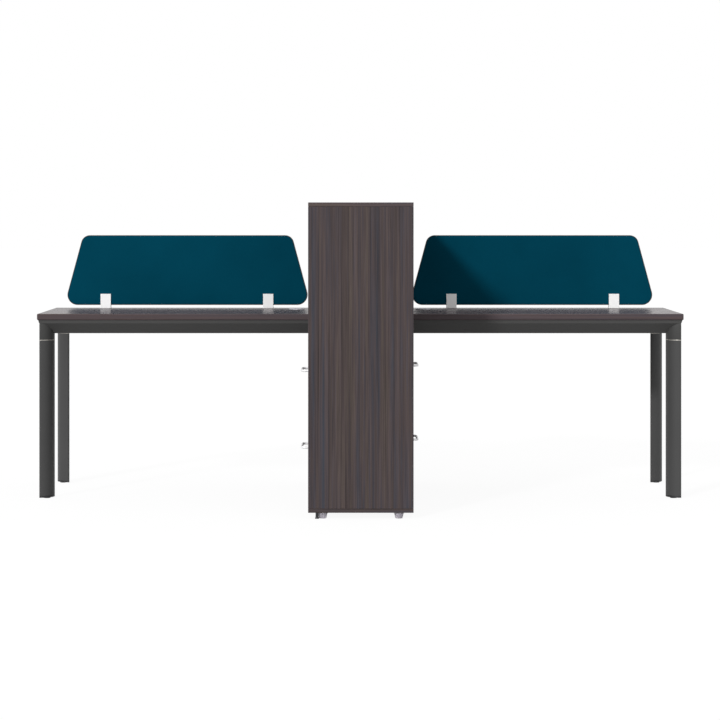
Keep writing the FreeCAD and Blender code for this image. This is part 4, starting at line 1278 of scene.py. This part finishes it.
@dataclass
class Leg:
    """An outer leg: leaf-section tube, casting, bright ring, cap and levelling foot."""

    side: Side
    row: Row
    width: float = 57 * MM
    wall: float = 2.5 * MM
    tip: float = 4 * MM
    inner_tip: float = 0.5 * MM
    soft: float = 0.5 * MM
    inset: float = 8.5 * MM
    worktop_end: float = 1.312
    desk_rear: float = 0.600
    worktop_under: float = 0.725
    casting_foot: float = 0.6440
    leg_top: float = 0.6415
    plug_play: float = 0.3 * MM
    casting_plug: float = 40 * MM
    cap_top: float = 10 * MM
    cap_under: float = 3 * MM
    cap_soft: float = 0.6 * MM
    cap_plug: float = 18 * MM
    cap_plug_soft: float = 0.8 * MM
    ring_proud: float = 0.4 * MM
    disc: float = 14 * MM
    disc_top: float = 2.93 * MM
    disc_sides: int = 36
    stem: float = 4 * MM
    stem_top: float = 34 * MM
    stem_chamfer: float = 0.6 * MM
    thread_pitch: float = 1.25 * MM
    # The bead of the ring: shares of how proud it is, with shares of its thickness.
    bead_shares: Sequence[Flat] = ((0.7, 0.2), (1.0, 0.5), (0.7, 0.8))
    # Profiles, in millimetres outwards and upwards: of the disc's rim, and of the foot of a turn of thread.
    disc_rim: Sequence[Flat] = ((-3.0, 0.3), (-2.0, 0.0), (-0.5, 0.1), (0.0, 0.6), (-0.1, 1.3), (-1.2, 2.5))
    disc_shoulder: float = 2.2 * MM
    thread_turn: Sequence[Flat] = ((0.0, 0.2), (-0.35, 0.8), (0.0, 1.25))

    @property
    def name(self) -> str:
        """Gives the leg's corner as its nodes spell it."""
        return f"{self.row.word}_{self.side.word}"

    def lift(self) -> Lift:
        """Makes a lift that stands the leaf section at this corner.

        Returns:
            The lift.
        """
        angles = {(Side.LEFT, Row.FRONT): 0.0, (Side.RIGHT, Row.FRONT): 90.0,
                  (Side.RIGHT, Row.REAR): 180.0, (Side.LEFT, Row.REAR): -90.0}
        turn = Matrix.Rotation(math.radians(angles[self.side, self.row]), 3, "Z")
        y = self.inset if self.row is Row.FRONT else self.desk_rear - self.inset
        foot = Vector((self.side.value * (self.worktop_end - self.inset), y, 0.0))
        return lambda u, v, height: turn @ Vector((u, v, height)) + foot

    def section(self) -> list[Flat]:
        """Draws the outside of the leg's section."""
        return leaf(self.width, 0.0, self.tip)

    def bore(self, play: float = 0.0) -> list[Flat]:
        """Draws the inside of the leg's section, or what stands in it with some play."""
        return leaf(self.width, self.wall + play, self.inner_tip)

    def build(self) -> None:
        """Builds the leg's own tube and levelling foot."""
        tube = Mesh().tube(self.section(), self.bore(), self.cap_top, self.leg_top, self.soft, self.lift())
        tube.done(f"{self.name}_leaf_leg", LEG_PAINT, ROOT, [f"{self.row.word}_leg_{self.side.word}"])
        self.build_leveller()

    def add_casting(self, mesh: Mesh) -> None:
        """Adds the casting at the top of the leg to a shared mesh.

        Args:
            mesh: The mesh of all castings.
        """
        foot = self.casting_foot
        mesh.prism(self.section(), foot, self.worktop_under, self.soft, self.lift())
        mesh.prism(self.bore(self.plug_play), foot - self.casting_plug, foot, self.soft, self.lift())

    def add_ring(self, mesh: Mesh) -> None:
        """Adds the bright ring to a shared mesh, its outside a soft bead.

        Args:
            mesh: The mesh of all rings.
        """
        outer, inner = self.section(), self.bore()
        low, high = self.leg_top, self.casting_foot
        bead = [(inset(outer, -self.ring_proud * proud), low + (high - low) * up)
                for proud, up in self.bead_shares]
        mesh.stack([(inner, low), (outer, low), *bead, (outer, high), (inner, high)], self.lift(), ring=True)

    def add_cap(self, mesh: Mesh) -> None:
        """Adds the plastic cap under the leg to a shared mesh.

        Args:
            mesh: The mesh of all caps.
        """
        top = self.cap_top
        mesh.prism(self.section(), self.cap_under, top, self.cap_soft, self.lift())
        mesh.prism(self.bore(self.plug_play), top, top + self.cap_plug, self.cap_plug_soft, self.lift())

    def build_leveller(self) -> None:
        """Builds the levelling foot: a dished disc and a threaded stem."""
        node = f"levelling_foot_{self.name}"
        middle = self.lift()(self.width / 2, self.width / 2, 0.0)
        height = self.disc_top
        profile = from_corner(self.disc, 0.0, self.disc_rim)
        profile += [(self.disc - self.disc_shoulder, height), (self.stem, height)]
        while height + self.thread_pitch < self.stem_top:
            profile += from_corner(self.stem, height, self.thread_turn)
            height += self.thread_pitch
        profile.append((self.stem - self.stem_chamfer, self.stem_top))
        mesh = Mesh().lathe(profile, standing(middle.x, middle.y), self.disc_sides)
        mesh.done(f"{self.name}_levelling_disc", BLACK_PLASTIC, body_of(node), [node])


@dataclass
class Screen:
    """A cloth-covered screen with an edge trim, in the shape of its solid."""

    side: Side
    inner: float = 0.2115
    outer: float = 1.2715
    low: float = 0.763
    high: float = 1.063
    slant: float = 81 * MM
    top_radius: float = 38 * MM
    foot_radius: float = 44 * MM
    corner_steps: int = 14
    front: float = 0.560
    rear: float = 0.580
    trim: float = 2.4 * MM
    cloth_sharp: float = 60.0
    # Half profiles: how far in from the trim or the edge, in millimetres, with shares of half the thickness.
    crown: Sequence[Flat] = ((0.0, 0.72), (0.5, 0.80), (1.4, 0.865), (3.2, 0.91), (7.0, 0.94), (14.0, 0.955),
                             (30.0, 0.965))
    band: Sequence[Flat] = ((3.0, 0.70), (2.9, 0.90), (2.3, 0.985), (1.6, 1.0), (0.9, 0.985), (0.25, 0.91),
                            (0.0, 0.75))

    def outline(self) -> list[Flat]:
        """Draws the screen's outline in X and Z, anticlockwise.

        Returns:
            The outline.
        """
        corners = [(self.inner, self.low), (self.outer, self.low), (self.outer - self.slant, self.high),
                   (self.inner + self.slant, self.high)]
        radii = [self.foot_radius, self.foot_radius, self.top_radius, self.top_radius]
        return round_corners(corners, radii, self.corner_steps)

    def rings(self, half_profile: Sequence[Flat], start: float, way: Row) -> list[tuple[list[Flat], float]]:
        """Draws the outlines of a half profile on one face of the screen.

        Args:
            half_profile: The half profile.
            start: How far in from the edge it starts.
            way: The face.

        Returns:
            The outlines with their depths, in the profile's order.
        """
        outline = self.outline()
        middle = (self.front + self.rear) / 2
        half = way.value * (self.rear - self.front) / 2
        return [(inset(outline, start + step * MM), middle + half * share) for step, share in half_profile]

    def build(self) -> None:
        """Builds the cloth panel and the trim that closes its edge."""
        sign = self.side.value
        node = f"screen_{self.side.word}"

        def lift(u: float, v: float, depth: float) -> Vector:
            """Stands the outline upright, its depth along Y."""
            return Vector((sign * u, depth, v))

        front, rear = (self.rings(self.crown, self.trim, way) for way in Row)
        panel = Mesh().stack([*reversed(front), *rear], lift)
        panel.done(f"{node}_cloth_panel", FABRIC, ROOT, [node], self.cloth_sharp)
        front, rear = (self.rings(self.band, 0.0, way) for way in Row)
        edge = Mesh().stack([*front, *reversed(rear)], lift, ring=True)
        edge.done(f"{node}_edge_trim", SCREEN_TRIM, ROOT)


@dataclass
class Grommet:
    """A cable outlet: a flanged ring in the worktop and a cap that turns in it."""

    side: Side
    reach: float = 0.269
    depth: float = 0.455
    top: float = 0.750
    sleeve: float = 29.7 * MM
    sleeve_length: float = 20.0 * MM
    wall: float = 2.0 * MM
    ledge: float = 3.0 * MM
    ledge_thick: float = 2.0 * MM
    mouth: float = 0.4 * MM
    flange: float = 34.0 * MM
    flange_height: float = 2.5 * MM
    ring_sides: int = 64
    cap_thick: float = 3.0 * MM
    cap_play: float = 0.2 * MM
    cap_soft: float = 0.5 * MM
    slot_half: float = 7.0 * MM
    slot_depth: float = 20.0 * MM
    # The flange's rounded rim, in millimetres outwards and upwards of its foot.
    flange_rim: Sequence[Flat] = ((0.0, 0.0), (0.0, 0.35), (-0.5, 1.3), (-1.3, 2.1), (-2.4, 2.5))

    def add_ring(self, mesh: Mesh) -> None:
        """Adds the flanged ring to a shared mesh.

        Args:
            mesh: The mesh of both rings.
        """
        inner = self.sleeve - self.wall
        rim = self.flange_height
        seat = rim - self.cap_thick
        under = seat - self.ledge_thick
        foot = -self.sleeve_length
        profile = [
            (inner, rim - self.mouth), (inner, seat), (inner - self.ledge, seat), (inner - self.ledge, under),
            (inner, under), (inner, foot), (self.sleeve, foot), (self.sleeve, 0.0),
            *from_corner(self.flange, 0.0, self.flange_rim), (inner + self.mouth, rim),
        ]
        x = self.side.value * self.reach
        mesh.lathe(profile, standing(x, self.depth, self.top), self.ring_sides, ring=True)

    def build_cap(self) -> None:
        """Builds the slotted cap with its rounded rim."""
        node = f"grommet_cap_{self.side.word}"
        low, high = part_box(node)
        radius = self.sleeve - self.wall - self.cap_play
        outline = slotted_disc(radius, self.slot_half, self.slot_depth)
        x = self.side.value * self.reach
        mesh = Mesh().prism(outline, low.z, high.z, self.cap_soft, standing(x, self.depth))
        mesh.done(f"{node}_slotted", GROMMET_PLASTIC, body_of(node), [node])


@dataclass
class ShoeScrews:
    """The screws of the screen shoes: socket-headed clamp screws and hidden countersunk ones."""

    places: Sequence[float] = (0.394, 1.093)
    middle: float = 0.570
    clamp_height: float = 0.790
    clamp_from: float = 0.5801
    shoe_rear: float = 0.5842
    clamp_shank: float = 3.0 * MM
    clamp_head: float = 7.0 * MM
    clamp_thick: float = 4.0 * MM
    clamp_sides: int = 36
    socket: float = 2.5 * MM
    wood_low: float = 0.736
    wood_seat: float = 0.7597
    wood_thick: float = 3.0 * MM
    wood_sides: int = 28
    # Profiles, in millimetres outwards and upwards: of the clamp head's foot and top, of its socket's mouth,
    # of the wood screw's tip, and of its axis at the top of its head.
    clamp_foot: Sequence[Flat] = ((-0.3, 0.0), (0.0, 0.3))
    clamp_top: Sequence[Flat] = ((0.0, -1.2), (-0.4, -0.4), (-1.2, 0.0))
    clamp_socket: Sequence[Flat] = ((0.5, 0.0), (0.0, -0.3), (0.0, -2.2), (-1.3, -2.7))
    wood_tip: Sequence[Flat] = ((0.4, 0.0), (2.4, 4.0))
    wood_neck: Sequence[Flat] = ((2.5, 0.0), (5.0, 0.0))
    wood_top: Sequence[Flat] = ((5.0, -0.6), (4.2, 0.0), (1.6, 0.0), (1.0, -1.4))

    def build(self) -> None:
        """Builds all eight screws as one piece."""
        mesh = Mesh()
        for side in Side:
            for place in self.places:
                self.add_clamp(mesh, side.value * place)
                self.add_wood(mesh, side.value * place)
        mesh.done("shoe_screws_turned", ZINC, ROOT, ["shoe_screws"])

    def add_clamp(self, mesh: Mesh, x: float) -> None:
        """Adds a clamp screw with a socket in its head.

        Args:
            mesh: The mesh of all shoe screws.
            x: The screw's place across the part.
        """
        foot, z = self.shoe_rear, self.clamp_height
        top = foot + self.clamp_thick
        profile = [(self.clamp_shank, self.clamp_from), (self.clamp_shank, foot)]
        profile += from_corner(self.clamp_head, foot, self.clamp_foot)
        profile += from_corner(self.clamp_head, top, self.clamp_top)
        profile += from_corner(self.socket, top, self.clamp_socket)
        mesh.lathe(profile, lambda u, v, height: Vector((x + u, height, z - v)), self.clamp_sides)

    def add_wood(self, mesh: Mesh, x: float) -> None:
        """Adds a hidden screw that holds a shoe down.

        Args:
            mesh: The mesh of all shoe screws.
            x: The screw's place across the part.
        """
        profile = from_corner(0.0, self.wood_low, self.wood_tip)
        profile += from_corner(0.0, self.wood_seat, self.wood_neck)
        profile += from_corner(0.0, self.wood_seat + self.wood_thick, self.wood_top)
        mesh.lathe(profile, standing(x, self.middle), self.wood_sides)


@dataclass
class Desks:
    """Both desks: frames, worktops, grommets, screens and their fixings."""

    worktop_edge: float = 2.5 * MM
    beam_edge: float = 0.5 * MM
    beam_turn: float = 22.0
    bracket_edge: float = 0.5 * MM
    screw_edge: float = 0.3 * MM
    shoe_edge: float = 0.9 * MM
    ring_sharp: float = 50.0
    legs: list[Leg] = field(default_factory=lambda: [Leg(side, row) for side in Side for row in Row])

    def build(self) -> None:
        """Builds every piece of the desks."""
        for side in Side:
            soften(f"worktop_{side.word}", TOP_WOOD, self.worktop_edge)
            soften(f"end_beam_{side.word}", FRAME_PAINT, self.beam_edge, self.beam_turn)
            for row in Row:
                soften(f"{row.word}_beam_{side.word}", FRAME_PAINT, self.beam_edge, self.beam_turn)
            Screen(side).build()
        self.build_legs()
        self.build_grommets()
        soften("beam_brackets", FRAME_PAINT, self.bracket_edge)
        soften("bracket_screws", ZINC, self.screw_edge)
        soften("screen_shoes", WHITE_PAINT, self.shoe_edge)
        ShoeScrews().build()

    def build_legs(self) -> None:
        """Builds the legs, with the castings, rings and caps as one piece each."""
        castings, rings, caps = Mesh(), Mesh(), Mesh()
        for leg in self.legs:
            leg.build()
            leg.add_casting(castings)
            leg.add_ring(rings)
            leg.add_cap(caps)
        castings.done("corner_castings_leaf", CASTING_PAINT_SHADED, ROOT, ["corner_castings"])
        rings.done("leg_rings_bead", RING_CHROME, ROOT, ["leg_rings"], self.ring_sharp)
        caps.done("leg_caps_moulded", BLACK_PLASTIC, ROOT, ["leg_caps"])

    def build_grommets(self) -> None:
        """Builds the cable outlets."""
        rings = Mesh()
        for side in Side:
            grommet = Grommet(side)
            grommet.add_ring(rings)
            grommet.build_cap()
        rings.done("grommet_rings_turned", GROMMET_PLASTIC, ROOT, ["grommet_rings"])


# Light, floor and camera


@dataclass
class Studio:
    """The pale room, its soft light and the photograph's camera."""

    focal: float = 2270.1
    image: float = 720.0
    sensor: float = 36.0
    principal: Flat = (352.41, 210.71)
    stand: Place = (-0.0320, -9.2055, 1.1685)
    level: float = 90.0
    far: float = 200.0
    sun_way: Place = (0.563, 1.0, -0.586)
    sun_place: Place = (-3.0, -5.0, 4.0)
    sun_power: float = 1.9
    sun_spread: float = 6.0
    ambient: float = 0.93
    floor_reach: float = 60.0
    floor_white: float = 0.93
    floor_bounce: float = 0.18
    floor_dark: Colour = (0.93, 0.93, 0.93)
    floor_light: Colour = (0.96, 0.96, 0.96)

    def build(self) -> None:
        """Sets up everything around the object."""
        self.build_camera()
        self.build_light()
        self.build_world()
        self.build_floor()
        bpy.context.scene.view_settings.view_transform = "Standard"

    def build_camera(self) -> None:
        """Stands the camera where the photograph was taken from, level, with the picture's framing."""
        data = bpy.data.cameras.new("camera")
        data.sensor_width = self.sensor
        data.sensor_fit = "HORIZONTAL"
        data.lens = self.focal * self.sensor / self.image
        data.shift_x = (self.image / 2 - self.principal[0]) / self.image
        data.shift_y = (self.principal[1] - self.image / 2) / self.image
        data.clip_end = self.far
        camera = bpy.data.objects.new("camera", data)
        camera.location = self.stand
        camera.rotation_euler = (math.radians(self.level), 0.0, 0.0)
        bpy.context.scene.collection.objects.link(camera)
        bpy.context.scene.camera = camera

    def build_light(self) -> None:
        """Adds the one soft lamp, high on the left in front."""
        data = bpy.data.lights.new("key_lamp", "SUN")
        data.energy = self.sun_power
        data.angle = math.radians(self.sun_spread)
        lamp = bpy.data.objects.new("key_lamp", data)
        lamp.rotation_euler = Vector(self.sun_way).to_track_quat("-Z", "Y").to_euler()
        lamp.location = self.sun_place
        bpy.context.scene.collection.objects.link(lamp)

    def build_world(self) -> None:
        """Makes the room white to the eye and in reflections, and softly lit otherwise."""
        world = bpy.data.worlds.new("room")
        world.use_nodes = True
        bpy.context.scene.world = world
        tree = world.node_tree
        path = tree.nodes.new("ShaderNodeLightPath")
        seen = path.outputs["Is Camera Ray"]
        for name in ("Is Glossy Ray", "Is Transmission Ray"):
            node = tree.nodes.new("ShaderNodeMath")
            node.operation = "MAXIMUM"
            tree.links.new(seen, node.inputs[0])
            tree.links.new(path.outputs[name], node.inputs[1])
            seen = node.outputs[0]
        level = tree.nodes.new("ShaderNodeMapRange")
        level.inputs["To Min"].default_value = self.ambient
        level.inputs["To Max"].default_value = 1.0
        tree.links.new(seen, level.inputs["Value"])
        background = tree.nodes["Background"]
        background.inputs["Color"].default_value = WHITE
        tree.links.new(level.outputs["Result"], background.inputs["Strength"])

    def build_floor(self) -> None:
        """Lays the pale floor, nearly white to the eye, which still takes the object's shadow."""
        mesh = bpy.data.meshes.new("floor")
        far = self.floor_reach
        mesh.from_pydata([(-far, -far, 0.0), (far, -far, 0.0), (far, far, 0.0), (-far, far, 0.0)], [],
                         [(0, 1, 2, 3)])
        floor = bpy.data.objects.new("floor", mesh)
        bpy.context.scene.collection.objects.link(floor)
        graph = Graph("pale_floor")
        cloud = graph.noise(graph.place(), scale=1.5, detail=3.0, rough=0.5)
        tint = graph.ramp(cloud, ((NOISE_RANGE[0], self.floor_dark), (NOISE_RANGE[1], self.floor_light)))
        path = graph.add("ShaderNodeLightPath")
        dim = (self.floor_bounce,) * 3
        graph.set(Base_Color=graph.blend(path.outputs["Is Camera Ray"], dim, tint), Roughness=0.9,
                  Specular_IOR_Level=0.0)
        seen = graph.math("MAXIMUM", path.outputs["Is Camera Ray"], path.outputs["Is Glossy Ray"])
        seen = graph.math("MAXIMUM", seen, path.outputs["Is Transmission Ray"])
        glow = graph.add("ShaderNodeEmission", Color=WHITE, Strength=1.0)
        mix = graph.add("ShaderNodeMixShader", Fac=graph.math("MULTIPLY", seen, self.floor_white))
        graph.put(mix.inputs[1], graph.shader.outputs[0])
        graph.put(mix.inputs[2], glow.outputs[0])
        graph.put(graph.output.inputs["Surface"], mix.outputs[0])
        mesh.materials.append(graph.material)


def save_sizes() -> None:
    """Updates the view layer."""
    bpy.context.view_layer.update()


def main() -> None:
    """Builds the cabinet, its drawers, the desks and the room, in that order."""
    logging.basicConfig(level=logging.INFO, format="%(name)s: %(message)s")
    Cabinet().build()
    for side in Side:
        for level in Level:
            Drawer(side, level).build()
    Desks().build()
    Studio().build()
    save_sizes()


if __name__ == "__main__":
    main()
